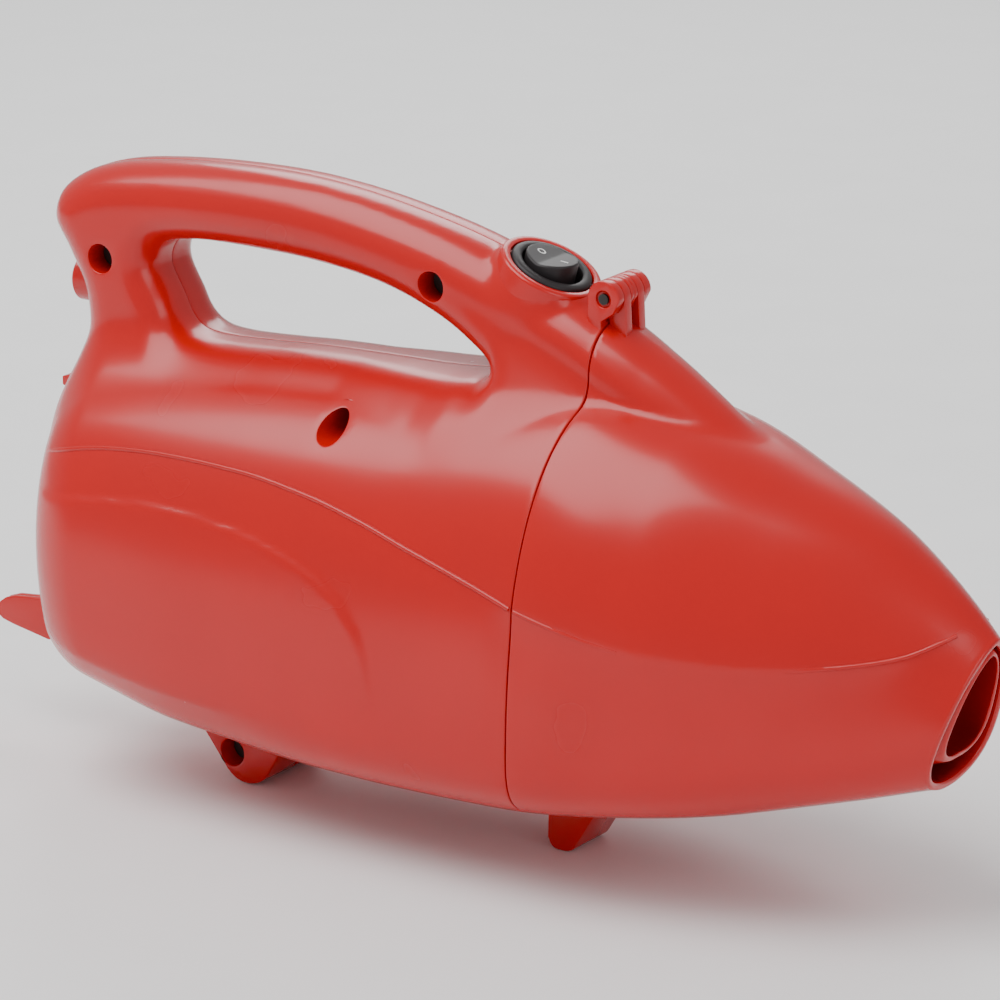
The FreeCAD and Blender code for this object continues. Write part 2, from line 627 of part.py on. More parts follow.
def commutator():
    """Copper bars round a hub, parted by narrow slots."""
    drum = turned("commutator_drum", dim("commutator_start"), [
        (0, SHAFT_HOLE), (0, "dims.commutator_radius"), ("dims.commutator_length", "dims.commutator_radius"),
        ("dims.commutator_length", SHAFT_HOLE)])
    slots = []
    for i in range(24):
        slot = block(f"commutator_slot_{i}", "dims.commutator_length + 2", "0.4", "2", Placement())
        spin = Placement(Vector(dim("commutator_start") - 1, 0, AXIS), Rotation(Vector(1, 0, 0), 15 * i))
        slot.Placement = spin.multiply(Placement(Vector(0, -0.2, 9.3), Rotation()))
        slots.append(slot)
    return cut("commutator", drum, fuse("commutator_slots", *slots))


keep("commutator", commutator())
FRONT_BEARING, REAR_BEARING = -8.0, -92.0


def bearing(label, start, outer, width, bore):
    """A sealed ball bearing as one solid with a shallow groove on both faces."""
    groove = 0.5
    middle_low, middle_high = f"{bore} + 2", f"{outer} - 2"
    return turned(label, start, [
        (0, bore), (0, middle_low), (groove, middle_low), (groove, middle_high), (0, middle_high), (0, outer),
        (width, outer), (width, middle_high), (f"{width} - {groove}", middle_high), (f"{width} - {groove}", middle_low),
        (width, middle_low), (width, bore)])


keep("front_bearing", bearing("front_bearing", FRONT_BEARING, "dims.bearing_radius", "dims.bearing_width",
                              "dims.shaft_radius + dims.pin_clearance"))
keep("rear_bearing", bearing("rear_bearing", REAR_BEARING, "9.5", "6", "3 + dims.pin_clearance"))


def ring_of_holes(name, count, radius, pitch, x0, x1, phase=0.0):
    """Cylinders along X on a pitch circle about the motor axis."""
    holes = []
    for i in range(count):
        angle = math.radians(360 * i / count + phase)
        hole = cylinder(f"{name}_{i}", radius, str(x1 - x0),
                        along_x(x0, pitch * math.cos(angle), AXIS + pitch * math.sin(angle)))
        holes.append(hole)
    return fuse(name, *holes)


def front_bracket():
    """The plate that carries the front bearing and the shroud, with air holes round the hub."""
    plate = turned("front_plate", FRONT_BEARING - 1, [
        (0, "dims.shaft_radius + 2"), (0, "dims.bearing_radius + 2.5"), (8, "dims.bearing_radius + 2.5"),
        (8, "dims.shroud_radius - dims.sheet_metal - 0.1"), (10.4, "dims.shroud_radius - dims.sheet_metal - 0.1"),
        (10.4, "dims.shaft_radius + 2"), (8.1, "dims.shaft_radius + 2"), (8.1, "dims.bearing_radius + 0.02"),
        (0.95, "dims.bearing_radius + 0.02"), (0.95, "dims.shaft_radius + 2")])
    return cut("motor_front_bracket", plate, ring_of_holes("diffuser_holes", 10, "5.5", 35.0, -3, 3))


def rear_bracket():
    """The rear hub on four arms that run back from the field stack."""
    hub = turned("rear_hub", REAR_BEARING - 1, [
        (0, 5), (0, 12), (8, 12), (8, 9.52), (0.95, 9.52), (0.95, 5)])
    arms = []
    for sign in (-1, 1):
        cross = block(f"rear_cross_{sign + 1}", "3", "10", "17.5", Placement(
            Vector(REAR_BEARING + 3, -5, AXIS + (11 if sign > 0 else -28.5)), Rotation()))
        post = block(f"rear_post_{sign + 1}", f"{stack_x() - REAR_BEARING - 3.1}", "10", "3", Placement(
            Vector(REAR_BEARING + 3, -5, AXIS + (25.5 if sign > 0 else -28.5)), Rotation()))
        arms += [cross, post]
    return fuse("motor_rear_bracket", hub, *arms)


keep("motor_front_bracket", front_bracket())
keep("motor_rear_bracket", rear_bracket())
POLE = 12.0              # half width of a field pole
YOKE = 25.5              # inner radius of the yoke


def field_core():
    """The laminated stator: a yoke ring with one pole above and one below the armature."""
    bore = dim("armature_radius") + dim("air_gap")
    ring = disc(dim("field_radius"), stack_x(), stack_x(STACK)).cut(disc(YOKE, stack_x(-1), stack_x(STACK + 1)))
    poles = box(stack_x(), stack_x(STACK), -POLE, POLE, AXIS - 26, AXIS + 26)
    shoes = disc(19.6, stack_x(), stack_x(STACK)).cut(box(stack_x(-1), stack_x(STACK + 1), -30, 30, AXIS - 9, AXIS + 9))
    return ring.fuse(poles).fuse(shoes).cut(disc(bore, stack_x(-1), stack_x(STACK + 1)))


def field_coil(sign):
    """A saddle coil round one pole."""
    low, high = sorted((AXIS + sign * 9.5, AXIS + sign * 40))
    saddle = disc(YOKE - 0.2, stack_x(-7), stack_x(STACK + 7)).cut(disc(19.8, stack_x(-8), stack_x(STACK + 8)))
    saddle = saddle.common(box(stack_x(-8), stack_x(STACK + 8), -40, 40, low, high))
    return saddle.cut(box(stack_x(-0.2), stack_x(STACK + 0.2), -POLE - 0.2, POLE + 0.2, 0, 200))


keep("field_core", feature("field_core", field_core()))
keep("field_coils", feature("field_coils", Part.makeCompound([field_coil(-1), field_coil(1)])))
BRUSH_X = dim("commutator_start") + dim("commutator_length") / 2


def mirrored_pair(label, make):
    return keep(label, feature(label, Part.makeCompound([make(-1), make(1)])))


def side_box(sign, near, far, half_x, half_z):
    """A box reaching out from the commutator along +Y or -Y."""
    y0, y1 = sorted((sign * near, sign * far))
    return box(BRUSH_X - half_x, BRUSH_X + half_x, y0, y1, AXIS - half_z, AXIS + half_z)


BRUSH_FACE = dim("commutator_radius") + 0.1
mirrored_pair("carbon_brushes", lambda side: side_box(side, BRUSH_FACE, 23, 3, 2.5).cut(
    disc(BRUSH_FACE, BRUSH_X - 5, BRUSH_X + 5)))
mirrored_pair("brush_holders", lambda side: side_box(side, 12.5, 31, 4.2, 3.7).cut(side_box(side, 12, 30, 3.1, 2.6)))
mirrored_pair("brush_springs", lambda side: rod(2.3, Vector(BRUSH_X, side * 23.1, AXIS),
                                                Vector(BRUSH_X, side * 29.9, AXIS)).cut(
    rod(1.7, Vector(BRUSH_X, side * 23, AXIS), Vector(BRUSH_X, side * 30, AXIS))))
keep("rear_rubber_mount", turned("rear_rubber_mount", REAR_RIB - 2, [
    (0, 6), (0, 17.5), (1.8, 17.5), (1.8, 15.1), (4.6, 15.1), (4.6, 17.5), (9, 17.5), (9, 12.1),
    (7.9, 12.1), (7.9, 6)]))


def suppression_capacitor():
    body = box(-62, -40, -9, 9, 24.5, 36)
    return body.makeFillet(1.5, [e for e in body.Edges if abs(e.BoundBox.ZLength) < 0.01])


keep("suppression_capacitor", feature("suppression_capacitor", suppression_capacitor()))

# ---------------------------------------------------------------- fan
IMPELLER = dim("impeller_start")


def impeller():
    """Two discs with backward-curved blades between them, on a hub."""
    width, radius, disc_thick = dim("impeller_width"), dim("impeller_radius"), dim("disc_thick")
    shape = disc(radius, IMPELLER, IMPELLER + disc_thick).fuse(disc(8, IMPELLER - 3, IMPELLER + 6))
    shape = shape.fuse(disc(radius, IMPELLER + width - disc_thick, IMPELLER + width)
                       .cut(disc(dim("eye_radius"), IMPELLER, IMPELLER + width + 1)))
    bend = 34.0
    for i in range(int(dim("impeller_blades"))):
        outer = disc(bend, IMPELLER, IMPELLER + width).cut(disc(bend - 1.0, IMPELLER - 1, IMPELLER + width + 1))
        outer.translate(Vector(0, 0, bend - 7))
        blade = outer.common(box(IMPELLER, IMPELLER + width, 0, 60, 0, 200))
        blade = blade.common(disc(radius - 0.5, IMPELLER, IMPELLER + width))
        blade = blade.cut(disc(13.5, IMPELLER - 1, IMPELLER + width + 1))
        blade.rotate(Vector(0, 0, AXIS), Vector(1, 0, 0), 360 * i / dim("impeller_blades"))
        shape = shape.fuse(blade)
    return shape.cut(disc(dim("shaft_radius") + 0.01, IMPELLER - 5, IMPELLER + 7))


keep("fan_impeller", feature("fan_impeller", impeller()))
keep("fan_shroud", turned("fan_shroud", dim("shroud_start"), [
    (0, "dims.shroud_radius - dims.sheet_metal"), (0, "dims.shroud_radius"), ("dims.shroud_depth", "dims.shroud_radius"),
    ("dims.shroud_depth", "dims.eye_radius + 2"), ("dims.shroud_depth - dims.sheet_metal", "dims.eye_radius + 2"),
    ("dims.shroud_depth - dims.sheet_metal", "dims.shroud_radius - dims.sheet_metal")]))
NUT_X = dim("shaft_start") + dim("shaft_length") - 12
keep("fan_washer", turned("fan_washer", NUT_X - 1.0, [(0, 3.05), (0, 7), (1, 7), (1, 3.05)]))


def fan_nut():
    nut = doc.addObject("Part::Prism", "nut_blank")
    nut.Polygon = 6
    nut.Circumradius = 5.8
    nut.Height = 5
    nut.Placement = along_x(NUT_X + 0.05, 0, AXIS)
    hole = cylinder("nut_hole", "3.02", "8", along_x(NUT_X - 1, 0, AXIS))
    return cut("fan_nut", nut, hole)


keep("fan_nut", fan_nut())
keep("shroud_rubber_ring", turned("shroud_rubber_ring", dim("shroud_start") + 12, [
    (0, "dims.shroud_radius + 0.05"), (0, "dims.shroud_radius + 2.5"), (9.8, "dims.shroud_radius + 2.5"),
    (9.8, "dims.shroud_radius + 0.05")]))


# ---------------------------------------------------------------- filter, grille and gland
FILTER_X = 42.0


def filter_frame():
    """A frame that fits the casing's mouth, with cross bars and a pull tab."""
    slab = box(FILTER_X, FILTER_X + 3.5, -SIDE_Y, SIDE_Y, 0, 132)
    frame = barrel(WALL + 0.4).common(slab).cut(barrel(WALL + 6))
    inner = barrel(WALL + 5.9).common(slab)
    bars = box(FILTER_X, FILTER_X + 2, -1.2, 1.2, 0, 132)
    for z in (50.0, 76.0, 102.0):
        bars = bars.fuse(box(FILTER_X, FILTER_X + 2, -SIDE_Y, SIDE_Y, z - 1.2, z + 1.2))
    return frame.fuse(bars.common(inner.fuse(frame)))


def filter_element():
    """The filter medium as a plain pad with a crowned front."""
    sections = []
    for x, inset in ((FILTER_X + 2.1, 9.0), (FILTER_X + 8, 11.0), (FILTER_X + 13, 17.0), (FILTER_X + 15, 26.0)):
        wire = barrel_wire(FILTER_X, WALL + inset)
        wire.translate(Vector(x - FILTER_X, 0, 0))
        sections.append(wire)
    return Part.makeLoft(sections, True, False)


keep("filter_frame", feature("filter_frame", filter_frame()))
keep("filter_element", feature("filter_element", filter_element()))


def outlet_grille():
    """A round grille with level slots, held in a groove behind the outlet."""
    plate = disc(dim("grille_radius"), GRILLE_X + 0.2, GRILLE_X + 2.6)
    for i in range(-3, 4):
        half = math.sqrt((dim("outlet_radius") - 1) ** 2 - (i * 4.4) ** 2)
        plate = plate.cut(box(GRILLE_X - 1, GRILLE_X + 4, -half, half, AXIS + i * 4.4 - 1.2, AXIS + i * 4.4 + 1.2))
    return plate


keep("outlet_grille", feature("outlet_grille", outlet_grille()))
keep("cord_gland", turned("cord_gland", dim("gland_x"), [
    (0, "dims.gland_bore"), (0, "dims.gland_flange"), (3.2, "dims.gland_flange"), (3.2, "dims.gland_radius"),
    ("dims.gland_length - 2", "dims.gland_radius"), ("dims.gland_length - 2", "dims.gland_flange"),
    ("dims.gland_length", "dims.gland_flange"), ("dims.gland_length", "dims.gland_bore")], z=dim("gland_z")))


# ---------------------------------------------------------------- internal leads
def lead(points):
    """A round lead along straight runs joined by tangent arcs."""
    route = [Vector(*p) for p in points]
    edges = []
    start = route[0]
    for before, corner, after in zip(route, route[1:], route[2:]):
        into, out = (corner - before).normalize(), (after - corner).normalize()
        turn = into.getAngle(out)
        reach = 0.45 * min((corner - before).Length, (after - corner).Length)
        first, last = corner - into * reach, corner + out * reach
        radius = reach / math.tan(turn / 2)
        inward = (out - into).normalize()
        middle = corner + inward * (radius / math.cos(turn / 2) - radius)
        edges += [Part.LineSegment(start, first).toShape(), Part.Arc(first, middle, last).toShape()]
        start = last
    edges.append(Part.LineSegment(start, route[-1]).toShape())
    path = Part.Wire(edges)
    heading = (route[1] - route[0]).normalize()
    ring = Part.Wire(Part.makeCircle(dim("lead_radius"), route[0], heading))
    return path.makePipeShell([ring], True, True)


TAB_END = -dim("bezel_thick") - dim("switch_depth") - 6
TAB_REAR = switch_frame(TAB_END).multVec(Vector(-5.6, 0, 0))
TAB_FRONT = switch_frame(TAB_END).multVec(Vector(5.6, 0, 0))
LEADS = {
    "lead_gland_to_switch": [(-119.8, 1.2, 138), (-112, 1.2, 137.5), (-106.5, 1.2, 142), (-107.5, 1.2, 153), (-103, 1, 163),
                             (-88, 0, 167), (-60, 0, 167.5), (-30, 0, 166.4), (-8, 0, 165.2), (5, 0, 163.2),
                             (8.4, 0, 155), (8, 0, 147), (TAB_REAR.x, 0, TAB_REAR.z)],
    "lead_switch_to_motor": [(TAB_FRONT.x, 0, TAB_FRONT.z), (21, 0, 131), (20, 4, 124), (14, 14, 120.5),
                             (3, 24, 115.5), (-3.8, 26.5, 106), (-8.4, 25, 99.5), (-20, 28, 100), (-45, 34, 92),
                             (-62, 36, 82), (BRUSH_X - 1, 36, 75), (BRUSH_X, 32.1, AXIS)],
    "lead_gland_to_motor": [(-119.8, -1.2, 138), (-112, -1.2, 137), (-106, -2, 131), (-102, -6, 121), (-96, -14, 113),
                            (-86, -28, 101), (BRUSH_X - 2, -35, 82), (BRUSH_X, -32.1, AXIS)],
}
for label, points in LEADS.items():
    keep(label, feature(label, lead(points)))

# ---------------------------------------------------------------- checks and files
doc.recompute()
for obj in doc.Objects:
    if "Invalid" in obj.State or "Error" in obj.State:
        raise RuntimeError(f"{obj.Name} failed: {obj.State}")
os.makedirs("parts", exist_ok=True)
for label, obj in NODES.items():
    if obj.Shape.isNull() or not obj.Shape.isValid():
        raise RuntimeError(f"{label} has no valid shape")
    obj.Shape.exportStep(f"parts/{label}.step")
    print(f"{label:24s} solids {len(obj.Shape.Solids)}  volume {obj.Shape.Volume / 1000:8.2f} cm3")
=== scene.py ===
"""Looks for a handheld air blower: skins, switch, mouth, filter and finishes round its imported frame."""

import logging
import math
from dataclasses import dataclass
from enum import Enum
from typing import Callable, Iterable, Optional, Sequence

import bmesh
import bpy
import numpy as np
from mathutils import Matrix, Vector

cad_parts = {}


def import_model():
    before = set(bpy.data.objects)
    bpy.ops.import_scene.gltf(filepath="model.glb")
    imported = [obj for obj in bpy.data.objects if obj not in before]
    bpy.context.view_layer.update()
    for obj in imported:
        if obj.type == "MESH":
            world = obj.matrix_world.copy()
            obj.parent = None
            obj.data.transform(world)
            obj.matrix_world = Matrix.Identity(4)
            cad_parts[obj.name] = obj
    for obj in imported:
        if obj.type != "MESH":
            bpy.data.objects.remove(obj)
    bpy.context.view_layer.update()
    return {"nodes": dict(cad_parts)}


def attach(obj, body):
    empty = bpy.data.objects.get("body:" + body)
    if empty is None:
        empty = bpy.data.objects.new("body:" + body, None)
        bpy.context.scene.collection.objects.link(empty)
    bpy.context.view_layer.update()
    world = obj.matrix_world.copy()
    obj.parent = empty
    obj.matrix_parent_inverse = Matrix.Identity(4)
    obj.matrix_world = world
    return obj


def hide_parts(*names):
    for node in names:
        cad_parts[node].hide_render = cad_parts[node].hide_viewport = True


log = logging.getLogger("blower")

MM = 0.001
Outline = Sequence[tuple[float, float]]


class Side(Enum):
    """The two moulded halves of the casing, by the sign of their y."""

    RIGHT = -1
    LEFT = 1


# ------------------------------------------------------------------ curves and distances
class SmoothTable:
    """A curve through (x, value) pairs that never overshoots them."""

    def __init__(self, pairs: Outline) -> None:
        """Fits the slopes.

        Args:
            pairs: (x, value) pairs in rising x.
        """
        self.x, self.v = np.array(pairs, float).T
        self.step = np.diff(self.x)
        rise = np.diff(self.v) / self.step
        slope = np.zeros_like(self.v)
        slope[0], slope[-1] = rise[0], rise[-1]
        for i in range(1, len(self.x) - 1):
            left, right = rise[i - 1], rise[i]
            if left * right > 0:
                w1 = 2 * self.step[i] + self.step[i - 1]
                w2 = self.step[i] + 2 * self.step[i - 1]
                slope[i] = (w1 + w2) / (w1 / left + w2 / right)
        self.slope = slope

    def __call__(self, x: np.ndarray) -> np.ndarray:
        """The curve's value at each x, level beyond its ends."""
        x = np.clip(x, self.x[0], self.x[-1])
        i = np.clip(np.searchsorted(self.x, x) - 1, 0, len(self.x) - 2)
        t = (x - self.x[i]) / self.step[i]
        rest = 1 - t
        return (self.v[i] * (1 + 2 * t) * rest**2 + self.step[i] * self.slope[i] * t * rest**2
                + self.v[i + 1] * t * t * (3 - 2 * t) - self.step[i] * self.slope[i + 1] * t * t * rest)


def round_join(a: np.ndarray, b: np.ndarray, radius: np.ndarray | float) -> np.ndarray:
    """Union of two distances with a fillet of that radius."""
    u, v = np.maximum(radius - a, 0), np.maximum(radius - b, 0)
    return np.maximum(radius, np.minimum(a, b)) - np.sqrt(u * u + v * v)


def round_cut(a: np.ndarray, b: np.ndarray, radius: np.ndarray | float) -> np.ndarray:
    """Intersection of two distances with a rounded edge of that radius."""
    return -round_join(-a, -b, radius)


def smooth_curve(points: Outline, steps: int, closed: bool) -> np.ndarray:
    """Centripetal curve through the points.

    Args:
        points: corners to pass through.
        steps: samples for each span.
        closed: whether the last span returns to the first point.

    Returns:
        Sampled points, one row each.
    """
    p = np.array(points, float)
    count, out = len(p), []
    for i in range(count if closed else count - 1):
        before = p[(i - 1) % count] if closed or i else 2 * p[0] - p[1]
        after = p[(i + 2) % count] if closed or i + 2 < count else 2 * p[-1] - p[-2]
        a, b = p[i], p[(i + 1) % count]
        t1 = np.linalg.norm(a - before) ** 0.5
        t2 = t1 + np.linalg.norm(b - a) ** 0.5
        t3 = t2 + np.linalg.norm(after - b) ** 0.5
        for k in range(steps):
            t = t1 + (t2 - t1) * k / steps
            q1 = (t1 - t) / t1 * before + t / t1 * a
            q2 = (t2 - t) / (t2 - t1) * a + (t - t1) / (t2 - t1) * b
            q3 = (t3 - t) / (t3 - t2) * b + (t - t2) / (t3 - t2) * after
            r1 = (t2 - t) / t2 * q1 + t / t2 * q2
            r2 = (t3 - t) / (t3 - t1) * q2 + (t - t1) / (t3 - t1) * q3
            out.append((t2 - t) / (t2 - t1) * r1 + (t - t1) / (t2 - t1) * r2)
    if not closed:
        out.append(p[-1])
    return np.array(out)


class OutlineDistance:
    """Signed distance to a closed outline in the x-z plane, kept on a grid and read smoothly."""

    CELL = 1.0

    def __init__(self, corners: np.ndarray, low: tuple[float, float], high: tuple[float, float]) -> None:
        """Measures the grid.

        Args:
            corners: the outline's corners in order.
            low: lowest (x, z) of the grid.
            high: highest (x, z) of the grid.
        """
        nx, nz = (int((b - a) / self.CELL) + 1 for a, b in zip(low, high))
        x_lines, z_lines = low[0] + self.CELL * np.arange(nx), low[1] + self.CELL * np.arange(nz)
        gx, gz = np.meshgrid(x_lines, z_lines, indexing="ij")
        p = np.stack([gx.ravel(), gz.ravel()], 1)
        best, inside = np.full(len(p), 1e9), np.zeros(len(p), bool)
        for a, b in zip(corners, np.roll(corners, -1, 0)):
            run = b - a
            t = np.clip(((p - a) @ run) / max(run @ run, 1e-9), 0, 1)
            gap = p - a - t[:, None] * run
            best = np.minimum(best, (gap * gap).sum(1))
            if a[1] != b[1]:
                crosses = (a[1] > p[:, 1]) != (b[1] > p[:, 1])
                inside ^= crosses & (p[:, 0] < run[0] * (p[:, 1] - a[1]) / run[1] + a[0])
        self.grid = np.where(inside, -1, 1).reshape(nx, nz) * np.sqrt(best).reshape(nx, nz)
        self.low = low

    def __call__(self, x: np.ndarray, z: np.ndarray) -> np.ndarray:
        """Signed distance at each point, negative inside."""
        nx, nz = self.grid.shape
        u = np.clip((x - self.low[0]) / self.CELL, 1, nx - 3.001)
        v = np.clip((z - self.low[1]) / self.CELL, 1, nz - 3.001)
        i, j = u.astype(int), v.astype(int)

        def weights(t: np.ndarray) -> list[np.ndarray]:
            """Cubic weights of four neighbours."""
            return [(-t**3 + 2 * t * t - t) / 2, (3 * t**3 - 5 * t * t + 2) / 2,
                    (-3 * t**3 + 4 * t * t + t) / 2, (t**3 - t * t) / 2]
        wu, wv = weights(u - i), weights(v - j)
        return sum(wu[a] * wv[b] * self.grid[i + a - 1, j + b - 1] for a in range(4) for b in range(4))


def ease(t: np.ndarray | float) -> np.ndarray:
    """Smooth step from 0 to 1 as t goes from 0 to 1."""
    t = np.clip(t, 0, 1)
    return t * t * (3 - 2 * t)


# ------------------------------------------------------------------ the blower's outer form
@dataclass
class SwitchSeat:
    """Where the round switch sits: the frame of its top face, in millimetres."""

    x: float = 28.2
    z: float = 164.0
    tilt: float = 25.5

    def axes(self) -> tuple[np.ndarray, np.ndarray, np.ndarray]:
        """Down-slope, sideways and outward directions."""
        c, s = math.cos(math.radians(self.tilt)), math.sin(math.radians(self.tilt))
        return np.array([c, 0, -s]), np.array([0, 1.0, 0]), np.array([s, 0, c])

    def place(self, local: np.ndarray) -> np.ndarray:
        """Local (down-slope, sideways, outward) points in the row frame."""
        u, v, w = self.axes()
        local = np.asarray(local, float)
        return np.array([self.x, 0, self.z]) + local[:, :1] * u + local[:, 1:2] * v + local[:, 2:] * w

    def local(self, p: np.ndarray) -> tuple[np.ndarray, np.ndarray]:
        """Distance from the switch's axis, and height over its face."""
        u, v, w = self.axes()
        q = p - np.array([self.x, 0, self.z])
        return np.hypot(q @ u, q @ v), q @ w


class BlowerForm:
    """Distance field of the casing and nose together, in millimetres."""

    crown = SmoothTable([(-145, 105), (-125, 114.5), (-110, 120), (-60, 125.5), (0, 129), (49, 134),
                         (80, 129.6), (112, 118.8), (135, 108.9), (150, 99), (160, 90.5), (172, 78)])
    belly = SmoothTable([(-145, 37), (-97, 25.8), (-72, 21.3), (-38, 19.6), (0, 19), (37, 20), (68, 22.8),
                         (97, 26.4), (123, 32), (148, 38.4), (172, 46)])
    half_width = SmoothTable([(-145, 45), (-110, 49), (-60, 53), (0, 54.6), (49, 54.5), (80, 50), (110, 40),
                              (135, 29), (152, 20.5), (172, 12)])
    waist = SmoothTable([(-145, 60), (-60, 52), (49, 48), (100, 50), (135, 52), (150, 56), (172, 60)])
    crown_power = SmoothTable([(-145, 2.3), (49, 2.35), (110, 2.1), (150, 1.8), (172, 1.5)])
    belly_power = SmoothTable([(-145, 3.4), (0, 4), (49, 4), (90, 3.4), (130, 2.6), (172, 2.1)])
    grip_width = SmoothTable([(-145, 14.8), (-60, 14.6), (15, 15.2), (49, 14.5), (75, 12), (95, 8), (105, 5),
                              (112, 4)])
    grip_line: Outline = [(-129.5, 100), (-127, 118), (-125.5, 128), (-126.8, 137), (-132, 147), (-137, 156),
                          (-135, 164), (-127.5, 169.8), (-117, 173.4), (-100, 176), (-80, 177.6), (-56, 178),
                          (-36, 176.5), (-15, 173.2), (5, 168.8), (30, 161), (52, 151.3), (66.6, 143.6),
                          (81.4, 134), (94, 125.2), (104, 117), (112, 107)]
    finger_hole: Outline = [(-91, 127.5), (-96, 137), (-101, 147), (-98.5, 153), (-90, 155.6), (-60, 156.4),
                            (-40, 155.4), (-20, 152.6), (-5, 148.2), (8, 142.4), (17, 136), (15.5, 131),
                            (5, 129), (-20, 128.6), (-50, 127.6), (-82, 125)]
    panel_line: Outline = [(-122, 85.5), (-110, 87), (-93, 89.5), (-74, 91.2), (-53, 90.6), (-35, 88.2),
                           (-15, 82), (-5.5, 76), (1.8, 67), (5.4, 56), (6.5, 44)]
    cheek = SmoothTable([(49, 83.4), (61, 80.5), (72, 77.9), (87, 75.5), (102, 74.7), (112, 74.5),
                         (121, 74.9), (137.5, 77), (149, 79.6), (156, 83), (161, 86), (166, 90)])
    rocker_line = SmoothTable([(-122, 44.8), (-112, 43.8), (-91, 40.6), (-65, 37.8), (-48, 37.1),
                               (-20, 37.4)])
    bead = SmoothTable([(-121, 95.6), (-104, 100.1), (-94, 101.8), (-75, 103.4), (-61, 103.7), (-47, 103.5),
                        (-23.4, 101.3), (-3, 97.5), (11, 93.9), (25.4, 90.3), (39, 86.6), (49, 83.5)])
    back_x, back_round_y, back_round_z, back_z = -137.5, 48.0, 95.0, 68.0
    mouth_top = np.array([167.5, 0.0, 83.0])
    mouth_lean = 17.5
    mouth_normal = np.array([math.cos(math.radians(mouth_lean)), 0, -math.sin(math.radians(mouth_lean))])

    def __init__(self, seat: SwitchSeat) -> None:
        """Measures the outlines.

        Args:
            seat: where the switch's collar stands.
        """
        self.seat = seat
        low, high = (-190.0, 40.0), (140.0, 200.0)
        outer = np.vstack([smooth_curve(self.grip_line, 6, False), [(112, 60), (-125, 60), (-130.5, 94)]])
        self.outer = OutlineDistance(outer, low, high)
        self.hole = OutlineDistance(smooth_curve(self.finger_hole, 6, True), low, high)
        panel = np.vstack([smooth_curve(self.panel_line, 6, False), [(6.5, -20), (-190, -20), (-190, 85)]])
        self.panel = OutlineDistance(panel, (-190.0, -20.0), (40.0, 130.0))

    def barrel(self, p: np.ndarray) -> np.ndarray:
        """The barrel: a superellipse with its own power above and below the waist."""
        x, y, z = p.T
        middle = self.waist(x)
        up = z > middle
        high = np.where(up, self.crown(x) - middle, middle - self.belly(x))
        power = np.where(up, self.crown_power(x), self.belly_power(x))
        rise, side = np.abs(z - middle), np.abs(y)
        ratio = ((side / self.half_width(x)) ** power + (rise / high) ** power + 1e-9) ** (1 / power)
        return np.where(ratio > 1e-3, (np.hypot(side, rise) + 1e-6) * (1 - 1 / ratio), -20) * 0.93

    def back(self, p: np.ndarray) -> np.ndarray:
        """The wide dome that closes the barrel at the rear."""
        x, y, z = p.T
        bulge = y * y / (2 * self.back_round_y) + (z - self.back_z) ** 2 / (2 * self.back_round_z)
        lean = np.sqrt(1 + (y / self.back_round_y) ** 2 + ((z - self.back_z) / self.back_round_z) ** 2)
        return (self.back_x + bulge - x) / lean

    def grip(self, p: np.ndarray) -> np.ndarray:
        """The handle loop and the spine in front of it, flared at its foot."""
        x, y, z = p.T
        out = self.outer(x, z)
        depth = np.maximum(-out - 13, 0)
        flare = np.interp(x, [-30, 0, 25, 49, 85, 105], [0, 0.25, 0.6, 0.78, 0.75, 0.8])
        width = self.grip_width(x) + flare * depth * depth / (depth + 6)
        side = (np.abs(y) - width) / np.sqrt(1 + flare * flare)
        rounding = np.minimum(width - 1.5, 12.0)
        shape = round_cut(out, side, rounding)
        return round_cut(shape, -self.hole(x, z), np.minimum(9.0, rounding))

    def style(self, p: np.ndarray) -> np.ndarray:
        """How far the moulded style lines push the surface out."""
        x, y, z = p.T
        flank = ease((np.abs(y) - 6) / 10)
        into = -self.panel(x, z)
        panel = 0.85 * ease(into / 1.5) * np.exp(-np.maximum(into, 0) / 16)
        panel = panel * ease((z - 42) / 30) * ease((22 - x) / 20)
        under = self.rocker_line(x) - z
        sill = 1.3 * np.maximum(under, 0) / 7 * np.exp(1 - np.maximum(under, 0) / 7) * ease((-18 - x) / 45)
        below = self.cheek(x) - z
        turn = 1.15 * np.maximum(below, 0) / 11 * np.exp(1 - np.maximum(below, 0) / 11)
        turn *= ease((x - 40) / 14) * ease((172 - x) / 24)
        return flank * (panel - sill) - turn * ease((np.abs(y) - 2) / 6)

    def __call__(self, p: np.ndarray) -> np.ndarray:
        """Signed distance of each point from the moulded surface, negative inside."""
        x = p[:, 0]
        body = round_cut(self.barrel(p) - self.style(p), self.back(p), 7.0)
        fillet = np.interp(x, [-140, -90, -60, -10, 10, 26, 45, 110], [16, 12, 9, 8, 9, 5, 1.6, 1.2])
        whole = round_join(body, self.grip(p), fillet)
        radius, height = self.seat.local(p)
        collar = round_cut(round_cut(radius - 14.45, height + 1.5, 0.5), -height - 20, 0.5)
        return round_join(whole, collar, 2.6)

    def normal(self, p: np.ndarray) -> np.ndarray:
        """Unit surface normals at the points."""
        slope = np.empty_like(p)
        for axis in range(3):
            step = np.zeros(3)
            step[axis] = 0.12
            slope[:, axis] = self(p + step) - self(p - step)
        return slope / np.maximum(np.linalg.norm(slope, axis=1), 1e-9)[:, None]

